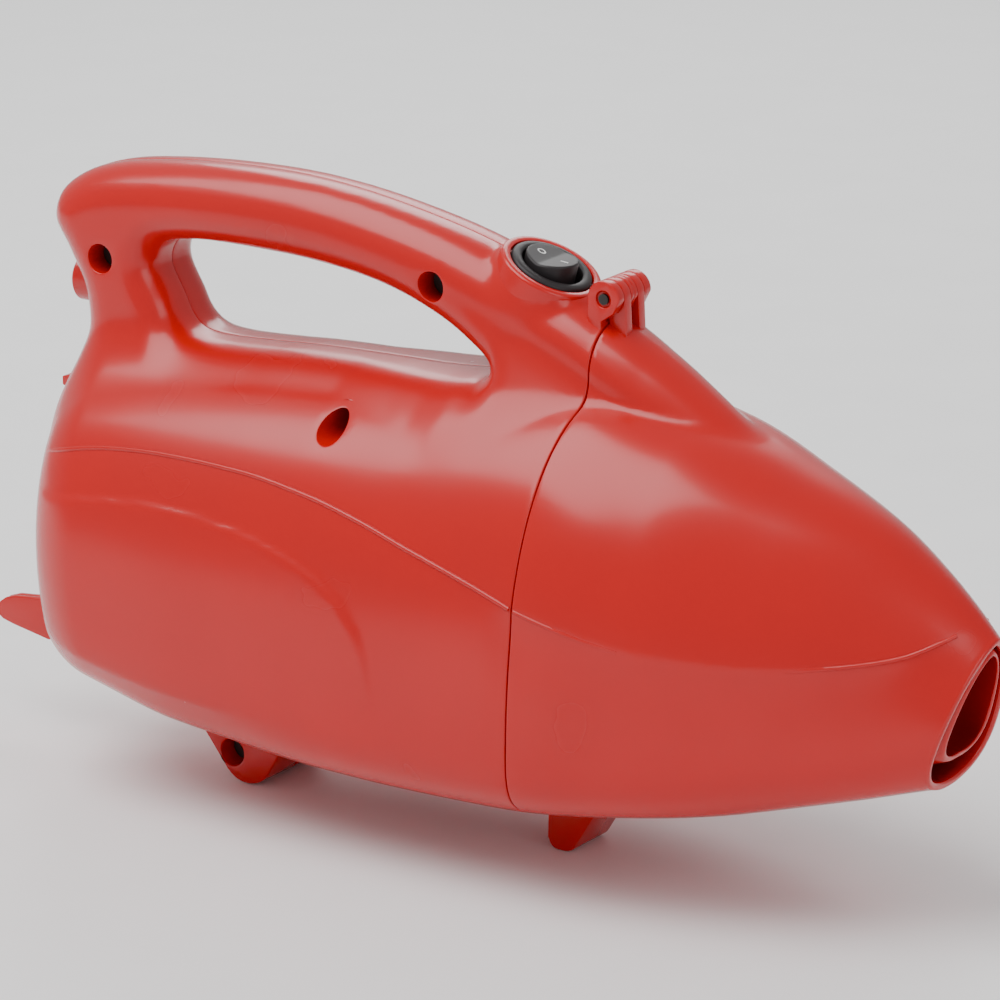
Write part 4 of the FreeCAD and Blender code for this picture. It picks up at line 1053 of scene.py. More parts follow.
@dataclass(frozen=True)
class Finish:
    """Base of the finishes: a named material with a Principled shader."""

    name: str
    colour: Colour
    shade: Colour
    roughness: float
    rough_spread: float = 0.06
    metallic: float = 0.0
    coat: float = 0.0
    coat_roughness: float = 0.1
    specular: float = 0.5
    grain: float = 900.0
    depth: float = 0.02
    dust: float = 0.0
    scuff: float = 0.0
    sheen: float = 0.0
    bands: Optional[tuple[float, float, float, float]] = None
    band_depth: float = 0.0

    def material(self) -> bpy.types.Material:
        """The finish as a material, made once."""
        made = bpy.data.materials.get(self.name)
        if made:
            return made
        material = bpy.data.materials.new(self.name)
        material.use_nodes = True
        material.diffuse_color = (*self.colour, 1)
        nodes = NodeTree(material.node_tree)
        shader = material.node_tree.nodes["Principled BSDF"]
        shader.inputs["Metallic"].default_value = self.metallic
        shader.inputs["Coat Weight"].default_value = self.coat
        shader.inputs["Coat Roughness"].default_value = self.coat_roughness
        shader.inputs["Specular IOR Level"].default_value = self.specular
        shader.inputs["Sheen Weight"].default_value = self.sheen
        grain = MouldGrain.use(nodes, Fine_Scale=self.grain)
        marks = HandlingMarks.use(nodes)
        tone = nodes.add("ShaderNodeMapRange", p_interpolation_type="SMOOTHSTEP", Value=grain.outputs["Tone"],
                         From_Min=0.25, From_Max=0.75)
        mix = nodes.add("ShaderNodeMix", p_data_type="RGBA")
        nodes.link(tone.outputs["Result"], mix.inputs["Factor"])
        mix.inputs["A"].default_value = (*self.colour, 1)
        mix.inputs["B"].default_value = (*self.shade, 1)
        colour = mix.outputs["Result"]
        height = grain.outputs["Height"]
        if self.bands:
            x, y, z, per_metre = self.bands
            band = StripePattern.use(nodes, X=x, Y=y, Z=z, Per_Metre=per_metre)
            darker = nodes.add("ShaderNodeMix", p_data_type="RGBA", p_blend_type="MULTIPLY")
            nodes.link(nodes.math("MULTIPLY", nodes.math("SUBTRACT", 1.0, band.outputs["Band"]), 0.75),
                       darker.inputs["Factor"])
            nodes.link(colour, darker.inputs["A"])
            darker.inputs["B"].default_value = (0.25, 0.22, 0.2, 1)
            colour = darker.outputs["Result"]
            height = nodes.math("ADD", nodes.math("MULTIPLY", height, 0.3),
                                nodes.math("MULTIPLY", band.outputs["Band"], self.band_depth))
        if self.dust:
            dusty = nodes.add("ShaderNodeMix", p_data_type="RGBA")
            nodes.link(nodes.math("MULTIPLY", marks.outputs["Dust"], self.dust), dusty.inputs["Factor"])
            nodes.link(colour, dusty.inputs["A"])
            dusty.inputs["B"].default_value = (0.55, 0.52, 0.48, 1)
            colour = dusty.outputs["Result"]
        spread = self.rough_spread / 2
        rough = nodes.add("ShaderNodeMapRange", p_interpolation_type="SMOOTHSTEP",
                          Value=grain.outputs["Tone"], From_Min=0.3, From_Max=0.7, To_Min=self.roughness - spread,
                          To_Max=self.roughness + spread)
        worn = nodes.math("MULTIPLY", marks.outputs["Scuff"], self.scuff)
        roughness = nodes.math("ADD", rough.outputs["Result"], worn)
        bump = nodes.add("ShaderNodeBump", Strength=0.6, Distance=self.depth * MM)
        nodes.link(height, bump.inputs["Height"])
        nodes.link(colour, shader.inputs["Base Color"])
        nodes.link(roughness, shader.inputs["Roughness"])
        nodes.link(bump.outputs["Normal"], shader.inputs["Normal"])
        return material


RED_GLOSS = Finish("red_gloss_plastic", (0.5, 0.001, 0.001), (0.47, 0.001, 0.001), 0.25, 0.05, coat=0.15,
                   specular=0.42, coat_roughness=0.12, grain=420.0, depth=0.006)
BLACK_SATIN = Finish("black_satin_plastic", (0.018, 0.015, 0.016), (0.026, 0.021, 0.022), 0.48, 0.08,
                     grain=1500.0, depth=0.02, specular=0.32, scuff=0.05)
DARK_GREY = Finish("dark_grey_plastic", (0.05, 0.05, 0.052), (0.04, 0.04, 0.042), 0.5, 0.08, grain=1300.0,
                   depth=0.03)
PRINT_WHITE = Finish("white_pad_print", (0.72, 0.72, 0.70), (0.64, 0.64, 0.62), 0.55, grain=1800.0,
                     depth=0.01)
BRIGHT_STEEL = Finish("zinc_plated_steel", (0.58, 0.58, 0.57), (0.5, 0.5, 0.5), 0.28, 0.1, metallic=1.0,
                      grain=1600.0, scuff=0.15)
DARK_STEEL = Finish("blackened_steel", (0.06, 0.057, 0.055), (0.04, 0.038, 0.037), 0.42, 0.1, metallic=1.0,
                    grain=1500.0)
PRESSED_STEEL = Finish("zinc_coated_sheet", (0.5, 0.51, 0.52), (0.42, 0.43, 0.45), 0.38, 0.16, metallic=1.0,
                       grain=300.0, scuff=0.1)
LAMINATIONS = Finish("stacked_sheet_steel", (0.2, 0.2, 0.21), (0.15, 0.14, 0.14), 0.45, metallic=1.0,
                     grain=800.0, depth=0.15, bands=(1, 0, 0, 9000.0), band_depth=1.0)
COPPER = Finish("varnished_copper_wire", (0.62, 0.24, 0.09), (0.5, 0.17, 0.06), 0.3, metallic=1.0, coat=0.6,
                grain=700.0, depth=0.2, bands=(0.25, 1, 1, 7800.0), band_depth=1.2)
COMMUTATOR = Finish("commutator_copper", (0.66, 0.3, 0.14), (0.4, 0.2, 0.1), 0.3, metallic=1.0, grain=900.0,
                    depth=0.06, bands=(1, 0, 0, 16000.0), band_depth=0.6)
BRASS = Finish("stamped_brass", (0.68, 0.48, 0.18), (0.58, 0.4, 0.15), 0.3, metallic=1.0, grain=1300.0,
               scuff=0.12)
CAST_ALUMINIUM = Finish("cast_aluminium", (0.57, 0.57, 0.58), (0.5, 0.5, 0.51), 0.48, 0.14, metallic=1.0,
                        grain=650.0, depth=0.08)
SHEET_ALUMINIUM = Finish("rolled_aluminium", (0.72, 0.72, 0.73), (0.64, 0.64, 0.66), 0.34, 0.12,
                         metallic=1.0, grain=1200.0, depth=0.03, scuff=0.12)
CARBON = Finish("pressed_carbon", (0.03, 0.03, 0.031), (0.02, 0.02, 0.02), 0.6, grain=2000.0, depth=0.05)
BLACK_RUBBER = Finish("matt_black_rubber", (0.022, 0.022, 0.022), (0.03, 0.03, 0.029), 0.68, grain=1100.0,
                      depth=0.05, dust=0.12, specular=0.35)
YELLOW_BOX = Finish("yellow_capacitor_case", (0.6, 0.42, 0.05), (0.54, 0.37, 0.05), 0.42, grain=1000.0)
FILTER_CLOTH = Finish("filter_cloth", (0.78, 0.77, 0.72), (0.68, 0.67, 0.62), 0.88, grain=2600.0,
                      depth=0.12, sheen=0.25, specular=0.2)
BROWN_WIRE = Finish("brown_insulation", (0.16, 0.065, 0.03), (0.13, 0.05, 0.025), 0.45, grain=1400.0)
BLUE_WIRE = Finish("blue_insulation", (0.03, 0.09, 0.42), (0.025, 0.07, 0.34), 0.45, grain=1400.0)
BLACK_WIRE = Finish("black_insulation", (0.02, 0.02, 0.02), (0.028, 0.028, 0.028), 0.45, grain=1400.0)
PALE_FLOOR = Finish("pale_floor", (0.86, 0.86, 0.86), (0.84, 0.84, 0.84), 0.7, grain=200.0, depth=0.0)


def finish_piece(obj: bpy.types.Object, finish: Finish, body: str, slot: str,
                 *replaced: str) -> bpy.types.Object:
    """Gives a piece its finish and its body, and hides the CAD nodes it replaces.

    Args:
        obj: the piece.
        finish: its finish.
        body: the body it rides on.
        slot: a material slot name; not used.
        *replaced: CAD nodes it replaces.

    Returns:
        The same piece.
    """
    obj.data.materials.clear()
    obj.data.materials.append(finish.material())
    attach(obj, body)
    if replaced:
        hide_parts(*replaced)
    log.info("%s rides on %s, %d faces", obj.name, body, len(obj.data.polygons))
    return obj


# ------------------------------------------------------------------ sub-assemblies
@dataclass
class Moulding:
    """Sizes that the casing and the nose share, in millimetres."""

    seam: float = 49.0
    gap: float = 0.3
    parting: float = 0.05
    edge: float = 0.45
    hinge_x: float = 49.5
    hinge_z: float = 159.0
    knuckle: float = 5.0
    leaf: float = 3.0
    pitch: float = 3.3

    def knuckle_plate(self, index: int, web: Outline, y_limits: Optional[tuple[float, float]] = None,
                      recess: float = 0.0) -> Skin:
        """One hinge leaf: a round knuckle on a web.

        Args:
            index: position along the pin, in leaf pitches.
            web: the outline's corners below the knuckle.
            y_limits: faces of the leaf where it isn't a whole one.
            recess: radius of the shallow recess round the pin's end.

        Returns:
            The closed leaf.
        """
        low, high = y_limits or (index * self.pitch - self.leaf / 2, index * self.pitch + self.leaf / 2)
        holes = []
        if recess:
            outer = low if index < 0 else high
            inward = 0.8 if index < 0 else -0.8
            ends = sorted((outer - inward, outer + inward))
            holes = [(self.hinge_x, self.hinge_z, recess, ends[0], ends[1])]
        return slab(web, low, high, 0.35, holes)


# Bare shapes of the casing's rear: along x and out from an axis for the rings, x and z for the plates.
OUTLET_ROOT = -118.0
GLAND_HEIGHT = 137.5
GLAND_COLLAR: Outline = [(-132.3, 5.6), (-132.3, 6.5), (-131.8, 7.0), (-121.0, 7.0), (-121.0, 4.6),
                         (-129.1, 4.6), (-129.1, 5.6)]
TAIL_FIN: Outline = [(-124, 37.5), (-150, 37.3), (-160.5, 36.2), (-164, 35.0), (-166.4, 33.2), (-167.4, 31.2),
                     (-166.8, 29.4), (-165, 28.2), (-161, 27.2), (-148, 24.8), (-124, 31.4)]
REAR_NIB: Outline = [(-139.6, 104.4), (-139.6, 107.0), (-122, 111.4), (-122, 99.0)]


@dataclass
class Casing:
    """The two moulded halves with their collar, foot, tail, outlet and hinge leaves."""

    form: BlowerForm
    moulding: Moulding
    axis_z: float = 72.0
    outlet_radius: float = 17.5
    outlet_wall: float = 2.2
    outlet_end: float = -136.0
    foot_x: float = -67.0
    foot_radius: float = 9.0
    foot_half: float = 14.0

    def wells(self) -> list[ScrewWell]:
        """The screw recesses in the right half's skin."""
        return [ScrewWell(-115.6, 147.8), ScrewWell(-1.8, 156.4), ScrewWell(-23.0, 117.3)]

    def opening(self, centres: np.ndarray) -> np.ndarray:
        """Which face centres lie in the switch's seat or the outlet."""
        radius, height = self.form.seat.local(centres)
        outlet = (np.hypot(centres[:, 1], centres[:, 2] - self.axis_z) < 18.6) & (centres[:, 0] < -120)
        return ((radius < 12.4) & (height > -5)) | outlet

    def collar(self) -> Skin:
        """The rolled wall round the switch, half of it."""
        lip = [(-0.6 - 1.1 + y, x) for x, y in arc((13.5, 0.0), 1.1, 0, 90, 5)]
        profile = [(-16.0, 14.6)] + lip
        profile += [(-0.62, 12.5), (-0.75, 12.15), (-1.1, 12.0), (-2.4, 12.0), (-2.4, 10.4), (-16.0, 10.4)]
        place = self.form.seat.place
        return lathe(profile, 40, lambda q: place(np.stack([q[:, 1], q[:, 2], q[:, 0]], 1)), (180.0, 360.0))

    def turned_half(self, profile: Outline, z: float) -> Skin:
        """Half of a ring about an axis along x."""
        return lathe(profile, 32, lambda q: np.stack([q[:, 0], q[:, 1], z + q[:, 2]], 1), (90.0, 270.0))

    def foot(self, drilled: bool) -> Skin:
        """The rear foot, half of it, with its screw recess on the right."""
        round_end = arc((self.foot_x, self.foot_radius), self.foot_radius, 214, 330, 14)
        outline = [(-93.0, 27.5)] + round_end + [(-46.0, 27.0)]
        holes = [(-72.0, 8.5, 4.0, -16.0, -6.0)] if drilled else []
        return slab(outline, -self.foot_half, -self.moulding.parting, 0.9, holes)

    def half(self, skin: Skin, side: Side) -> bpy.types.Object:
        """Builds and dresses one half.

        Args:
            skin: the whole form's skin for y below zero.
            side: which half to make.

        Returns:
            The piece.
        """
        m, right = self.moulding, side is Side.RIGHT
        planes = [Plane(np.array([m.seam - m.gap / 2, 0, 0]), np.array([1.0, 0, 0]), m.edge),
                  Plane(np.array([0, -m.parting, 0]), np.array([0, 1.0, 0]), 0.3)]
        maker = ShellMaker(self.form)
        trimmed = maker.trim(skin, planes, SkinNet.cell)
        parts = [maker.shell(trimmed, planes, self.wells() if right else (), self.opening)]
        parts.append(self.collar())
        ring = self.outlet_radius + self.outlet_wall
        lip = [(self.outlet_end + 0.9 - y, x) for x, y in arc((ring - 0.9, 0.0), 0.9, 0, 90, 4)]
        inner = [(self.outlet_end + 0.7 - y, x)
                 for x, y in arc((self.outlet_radius + 0.7, 0.0), 0.7, 90, 180, 4)]
        outlet = [(OUTLET_ROOT, ring)] + lip + inner + [(OUTLET_ROOT, self.outlet_radius)]
        parts.append(self.turned_half(outlet, self.axis_z))
        parts.append(self.turned_half(GLAND_COLLAR, GLAND_HEIGHT))
        parts.append(self.foot(right))
        parts.append(slab(TAIL_FIN, -2.0, -m.parting, 0.5))
        parts.append(slab(REAR_NIB, -3.0, -m.parting, 0.4))
        web = [(m.hinge_x - 5, 148.0)] + arc((m.hinge_x, m.hinge_z), m.knuckle, 180, 0, 22)
        web += [(m.hinge_x + 3.2, 155.4), (48.7, 152.6), (48.7, 147.0)]
        parts.append(m.knuckle_plate(-2, web, recess=2.3))
        parts.append(m.knuckle_plate(0, web, (-m.leaf / 2, -m.parting)))
        stations = np.concatenate([np.linspace(-121, -100, 18), np.linspace(-99, 48.4, 110)])
        parts.append(raised_line(self.form, Side.RIGHT, stations, self.form.bead, 0.8,
                                 lambda x: 0.6 * ease((x + 122) / 14)))
        whole = Skin.joined(parts)
        name = "casing_right" if right else "casing_left"
        if not right:
            whole = whole.mirrored()
        piece = mesh_object(name + "_moulding", whole)
        return finish_piece(piece, RED_GLOSS, "casing", "casing_plastic", name)


@dataclass
class NoseCover:
    """The hinged nose with its slanted mouth, tongue, rib and the inlet tube inside."""

    form: BlowerForm
    moulding: Moulding
    lip: float = 0.95
    tube_gap: float = 4.6
    tube_wall: float = 1.6
    tube_back: float = 112.0
    tube_widest: float = 148.0
    rib_x: float = 116.0
    axis_z: float = 62.0
    steps: int = 120
    lip_back: float = 0.9
    low_gap: float = 2.6

    def ring(self, angles: np.ndarray, x: np.ndarray, offset: float) -> np.ndarray:
        """Distance from the tube's middle line to the form moved inwards.

        Args:
            angles: directions round the middle line, in radians.
            x: the station for each direction.
            offset: how far inside the form.

        Returns:
            One radius for each direction.
        """
        low, high = np.full(len(angles), 0.5), np.full(len(angles), 60.0)
        for _ in range(34):
            middle = (low + high) / 2
            p = np.stack([x, middle * np.cos(angles), self.axis_z + middle * np.sin(angles)], 1)
            inside = self.form(p) < -offset
            low, high = np.where(inside, middle, low), np.where(inside, high, middle)
        return low

    def tube_radius(self, angles: np.ndarray, x: np.ndarray, offset: float) -> np.ndarray:
        """The tube's radius, drawn up at its underside where the gap below it is wider."""
        under = np.clip(-np.sin(angles), 0, 1) ** 2
        return self.ring(angles, np.maximum(x, self.tube_widest), offset) - self.low_gap * under

    def tube_loop(self, share: float, offset: float, back_off: float) -> np.ndarray:
        """One loop of the tube.

        Args:
            share: 0 at the tube's back, 1 at its lip.
            offset: how far inside the form.
            back_off: how far behind the mouth's plane the lip lies.

        Returns:
            The loop's points.
        """
        angles = np.linspace(0, 2 * math.pi, self.steps, endpoint=False) + 1e-3
        x = np.full(self.steps, 160.0)
        normal, top = self.form.mouth_normal, self.form.mouth_top
        for _ in range(8):
            radius = self.tube_radius(angles, x, offset)
            z = self.axis_z + radius * np.sin(angles)
            x = top[0] + ((z - top[2]) * -normal[2] - back_off) / normal[0]
        x = self.tube_back + (x - self.tube_back) * share
        radius = self.tube_radius(angles, x, offset)
        return np.stack([x, radius * np.cos(angles), self.axis_z + radius * np.sin(angles)], 1)

    def loft(self, loops: Sequence[np.ndarray]) -> Skin:
        """A closed skin through a closed row of loops."""
        n, faces = self.steps, []
        for k in range(len(loops)):
            j = (k + 1) % len(loops)
            faces += [(k * n + i, k * n + (i + 1) % n, j * n + (i + 1) % n, j * n + i) for i in range(n)]
        return Skin(np.vstack(loops), faces)

    def inlet_tube(self) -> bpy.types.Object:
        """The tube that stands just behind the mouth."""
        outer, inner = self.tube_gap, self.tube_gap + self.tube_wall
        shares = (0, 0.12, 0.3, 0.5, 0.7, 0.85, 0.95)
        loops = [self.tube_loop(s, outer, self.lip_back) for s in shares]
        roll = 0.8
        for k in range(9):
            turn = math.pi * k / 8
            loops.append(self.tube_loop(1.0, outer + roll * (1 - math.cos(turn)),
                                        self.lip_back - roll * math.sin(turn)))
        loops += [self.tube_loop(s, inner, self.lip_back) for s in reversed(shares)]
        piece = mesh_object("inlet_tube_moulding", self.loft(loops), sharp=60)
        return finish_piece(piece, RED_GLOSS, "cover", "casing_plastic", "inlet_tube")

    def rib(self) -> Skin:
        """The plate that holds the tube's back end."""
        angles = np.linspace(0, 2 * math.pi, self.steps, endpoint=False) + 1e-3
        loops = []
        back, front = self.rib_x, self.rib_x + 2.4
        for x, inside in ((back, True), (back, False), (front, False), (front, True)):
            at = np.full(self.steps, self.tube_widest if inside else x)
            if inside:
                radius = self.tube_radius(angles, at, self.tube_gap + 0.4)
            else:
                radius = self.ring(angles, at, 1.4)
            loops.append(np.stack([np.full(self.steps, x), radius * np.cos(angles),
                                   self.axis_z + radius * np.sin(angles)], 1))
        return self.loft(loops)

    def tongue(self) -> Skin:
        """The spring tongue under the casing, with the finger tab that is the front foot."""
        outline = [(33.0, 19.5), (33.0, 3.2)] + arc((36.2, 3.2), 3.2, 180, 270, 5) + [(38.6, 0.0)]
        outline += arc((38.6, 3.4), 3.4, 270, 330, 4)[1:]
        outline += [(51.0, 17.1), (60.0, 17.1), (64.0, 24.2), (49.6, 22.5), (49.6, 19.5)]
        return slab(outline, -9.0, 9.0, 0.8)

    def build(self, skin: Skin) -> bpy.types.Object:
        """Builds and dresses the cover.

        Args:
            skin: the whole form's skin for y below zero.

        Returns:
            The piece.
        """
        m = self.moulding
        seam = Plane(np.array([m.seam + m.gap / 2, 0, 0]), np.array([-1.0, 0, 0]), m.edge)
        mouth = Plane(self.form.mouth_top, self.form.mouth_normal, self.lip)
        middle = Plane(np.zeros(3), np.array([0, 1.0, 0]), 0.0)
        maker = ShellMaker(self.form)
        trimmed = maker.trim(skin, [seam, mouth, middle], SkinNet.cell)
        half = maker.shell(trimmed, [seam, mouth], weld=True)
        half.points[np.abs(half.points[:, 1]) < 1e-3, 1] = 0.0
        web = [(49.3, 147.0), (49.3, 152.6), (m.hinge_x - 3.2, 155.4)]
        web += arc((m.hinge_x, m.hinge_z), m.knuckle, 180, 0, 22) + [(m.hinge_x + 5.6, 147.0)]
        parts = [half, half.mirrored(), m.knuckle_plate(-1, web), m.knuckle_plate(1, web)]
        parts += [self.tongue(), self.rib()]
        stations = np.linspace(49.6, 80, 30)
        for side in Side:
            parts.append(raised_line(self.form, side, stations, self.form.cheek, 0.6,
                                     lambda x: 0.3 * (1 - ease((x - 58) / 24))))
            parts.append(raised_line(self.form, side, np.linspace(122, 159.5, 60), self.form.cheek, 0.65,
                                     lambda x: 0.45 * ease((x - 122) / 16)))
        return finish_piece(mesh_object("front_cover_moulding", Skin.joined(parts)), RED_GLOSS, "cover",
                            "casing_plastic", "front_cover")


@dataclass
class RoundSwitch:
    """The round rocker switch in the handle: its bezel, rocker and printed marks."""

    seat: SwitchSeat
    bezel: float = 11.6
    pocket: float = 8.7
    rocker: float = 7.4
    pivot: float = 4.0
    throw: float = 10.0
    valley: float = 5.3

    def housing(self) -> bpy.types.Object:
        """Bezel, pocket and body in one turned piece."""
        rim = [(-2.0, self.bezel), (-1.1, self.bezel), (-0.6, self.bezel - 0.12), (-0.28, self.bezel - 0.42),
               (-0.1, self.bezel - 0.85), (-0.02, self.bezel - 1.4), (-0.02, self.bezel - 1.9),
               (-0.12, self.pocket + 0.5), (-0.3, self.pocket + 0.15), (-0.6, self.pocket)]
        profile = [(-21.0, 0.0), (-21.0, 10.0), (-2.0, 10.0)] + rim + [(-12.0, self.pocket), (-12.0, 0.0)]
        skin = lathe(profile, 96, lambda q: self.seat.place(np.stack([q[:, 1], q[:, 2], q[:, 0]], 1)))
        piece = mesh_object("switch_housing", skin)
        return finish_piece(piece, BLACK_SATIN, "casing", "switch_plastic", "switch_body")

    def drum(self, local: np.ndarray) -> np.ndarray:
        """Points on the rocker's own tilted axis, in the row frame."""
        turn = math.radians(-self.throw)
        c, s = math.cos(turn), math.sin(turn)
        u = local[:, 0] * c + local[:, 2] * s
        w = -local[:, 0] * s + local[:, 2] * c
        return self.seat.place(np.stack([u, local[:, 1], w - self.pivot], 1))

    def top(self, u: np.ndarray) -> np.ndarray:
        """Height of the rocker's two shallow faces."""
        return self.valley + math.tan(math.radians(self.throw)) * (np.sqrt(u * u + 0.12) - 0.2)

    def rocker_piece(self) -> bpy.types.Object:
        """The rocker: two shallow faces that meet over the pivot, rounded at the rim."""
        steps, r = 96, self.rocker
        angles = np.linspace(0, 2 * math.pi, steps, endpoint=False)
        rings = [(share * (r - 0.7), 0.0) for share in (0.12, 0.3, 0.5, 0.7, 0.85, 0.95, 1.0)]
        rings += [(r - 0.7 + 0.7 * math.sin(t), 0.7 * (1 - math.cos(t))) for t in
                  (math.pi / 2 * k / 6 for k in range(1, 7))]
        loops = []
        for radius, drop in rings:
            u, v = radius * np.cos(angles), radius * np.sin(angles)
            loops.append(np.stack([u, v, self.top(u) - drop], 1))
        rim = loops[-1]
        for share in (0.35, 1.0):
            loops.append(np.stack([rim[:, 0], rim[:, 1], rim[:, 2] + (-4.4 - rim[:, 2]) * share], 1))
        points = np.vstack(loops + [np.array([[0, 0, float(self.top(np.zeros(1))[0])], [0, 0, -4.4]])])
        faces: list[tuple[int, ...]] = []
        for k in range(len(loops) - 1):
            here, above = k * steps, (k + 1) * steps
            faces += [(here + i, above + i, above + (i + 1) % steps, here + (i + 1) % steps)
                      for i in range(steps)]
        centre, last = len(loops) * steps, (len(loops) - 1) * steps
        faces += [(centre, i, (i + 1) % steps) for i in range(steps)]
        faces += [(centre + 1, last + (i + 1) % steps, last + i) for i in range(steps)]
        axle = lathe([(-9.2, 0.0), (-9.2, 1.2), (9.2, 1.2), (9.2, 0.0)], 24,
                     lambda q: np.stack([q[:, 1], q[:, 0], q[:, 2]], 1))
        skin = Skin.joined([Skin(points, faces), axle])
        skin.points = self.drum(skin.points)
        return finish_piece(mesh_object("rocker_moulding", skin), BLACK_SATIN, "rocker", "rocker_plastic",
                            "switch_rocker")

    def mark(self, name: str, points: np.ndarray, faces: list[tuple[int, ...]]) -> bpy.types.Object:
        """A thin printed mark laid on the rocker's faces.

        Args:
            name: the piece's name.
            points: flat outline points (down-slope, sideways), top loop only.
            faces: its faces.

        Returns:
            The piece.
        """
        n = len(points)
        tops = [np.stack([points[:, 0], points[:, 1], self.top(points[:, 0]) + lift], 1)
                for lift in (0.035, -0.05)]
        both = list(faces) + [tuple(i + n for i in f[::-1]) for f in faces]
        for a, b in ShellMaker.border(faces):
            both.append((b, a, a + n, b + n))
        return finish_piece(mesh_object(name, Skin(self.drum(np.vstack(tops)), both)), PRINT_WHITE, "rocker",
                            "rocker_plastic")

    def marks(self) -> list[bpy.types.Object]:
        """The plain off ring and on bar."""
        n = 40
        angles = np.linspace(0, 2 * math.pi, n, endpoint=False)
        ring = np.vstack([np.stack([-3.7 + r * np.cos(angles), 0.9 * r * np.sin(angles)], 1)
                          for r in (1.25, 0.85)])
        faces = [(i, (i + 1) % n, n + (i + 1) % n, n + i) for i in range(n)]
        along = np.linspace(-1, 1, 9)
        bar = np.vstack([np.stack([3.9 + 1.2 * along, np.full(9, side * 0.22)], 1) for side in (-1, 1)])
        bar_faces = [(i, i + 1, 9 + i + 1, 9 + i) for i in range(8)]
        return [self.mark("off_mark", ring, faces), self.mark("on_mark", bar, bar_faces)]


@dataclass
class PleatedFilter:
    """The cloth filter behind the nose, folded in level pleats in its frame."""

    form: BlowerForm
    back: float = 44.3
    depth: float = 9.0
    pitch: float = 6.0
    inset: float = 11.8
    thick: float = 0.7

    def build(self) -> bpy.types.Object:
        """The pleated sheet, crowned at its middle and flat at its rim."""
        ys, zs = np.arange(-46, 46.01, 1.0), np.arange(28, 124.01, 0.75)
        gy, gz = np.meshgrid(ys, zs, indexing="ij")
        flat = np.stack([np.full(gy.size, 42.0), gy.ravel(), gz.ravel()], 1)
        room = (-self.form.barrel(flat) - self.inset).reshape(gy.shape)
        rise = ease(room / 14) * 0.7 + 0.3 * ease(room / 38)
        fold = 0.5 + 0.5 * np.cos(2 * math.pi * gz / self.pitch)
        fold = np.clip((fold - 0.5) * 1.5 + 0.5, 0, 1)
        x = self.back + rise * (self.depth * fold + 2.4) + 0.15 * np.sin(gy / 9 + gz / 7)
        keep = room > 0.1
        front = np.stack([x, gy, gz], -1).reshape(-1, 3)
        rows = len(zs)
        faces = [(i * rows + j, (i + 1) * rows + j, (i + 1) * rows + j + 1, i * rows + j + 1)
                 for i in range(len(ys) - 1) for j in range(rows - 1) if keep[i:i + 2, j:j + 2].all()]
        n = len(front)
        behind = front - np.array([self.thick, 0, 0])
        both = faces + [tuple(i + n for i in f[::-1]) for f in faces]
        both += [(b, a, a + n, b + n) for a, b in ShellMaker.border(faces)]
        used = sorted({i for f in both for i in f})
        where = {v: k for k, v in enumerate(used)}
        skin = Skin(np.vstack([front, behind])[used], [tuple(where[i] for i in f) for f in both])
        obj = finish_piece(mesh_object("pleated_filter", skin, sharp=70), FILTER_CLOTH,
                           "casing", "filter_cloth", "filter_element")
        return obj


@dataclass
class RearFittings:
    """The rubber gland behind the handle post."""

    x: float = -132.5
    z: float = 137.5
    bore: float = 3.2

    def gland(self) -> bpy.types.Object:
        """The gland, turned with soft edges."""
        profile = [(0.5, self.bore), (0.1, self.bore + 0.4), (0.0, 4.4), (0.35, 5.1), (0.9, 5.4), (2.7, 5.4),
                   (3.2, 5.0), (3.2, 4.4), (10.0, 4.4), (10.0, 5.1), (10.3, 5.4), (11.7, 5.4), (12.0, 5.1),
                   (12.0, self.bore)]
        skin = lathe(profile, 56, lambda q: np.stack([self.x + q[:, 0], q[:, 1], self.z + q[:, 2]], 1))
        piece = mesh_object("gland_moulding", skin)
        return finish_piece(piece, BLACK_RUBBER, "casing", "black_rubber", "cord_gland")


class Internals:
    """Finishes for the CAD nodes that keep their own shape."""

    finishes: dict[Finish, tuple[str, ...]] = {
        DARK_STEEL: ("hinge_pin", "casing_screws"),
        BRIGHT_STEEL: ("motor_shaft", "front_bearing", "rear_bearing", "brush_springs",
                       "fan_washer", "fan_nut"),
        BRASS: ("switch_terminals", "brush_holders"),
        LAMINATIONS: ("armature_core", "field_core"),
        COPPER: ("armature_windings", "field_coils"),
        COMMUTATOR: ("commutator",),
        CAST_ALUMINIUM: ("motor_front_bracket", "motor_rear_bracket"),
        SHEET_ALUMINIUM: ("fan_impeller",),
        PRESSED_STEEL: ("fan_shroud",),
        CARBON: ("carbon_brushes",),
        BLACK_RUBBER: ("rear_rubber_mount", "shroud_rubber_ring"),
        YELLOW_BOX: ("suppression_capacitor",),
        DARK_GREY: ("filter_frame", "outlet_grille"),
        BROWN_WIRE: ("lead_gland_to_switch",),
        BLUE_WIRE: ("lead_gland_to_motor",),
        BLACK_WIRE: ("lead_switch_to_motor",),
    }

    def dress(self, nodes: dict[str, bpy.types.Object]) -> None:
        """Assigns each node's finish to its own material slots.

        Args:
            nodes: CAD objects by name.
        """
        for finish, names in self.finishes.items():
            for name in names:
                obj = nodes[name]
                if not obj.material_slots:
                    obj.data.materials.append(finish.material())
                for slot in obj.material_slots:
                    slot.material = finish.material()
                log.info("%s keeps its shape, finish %s", name, finish.name)


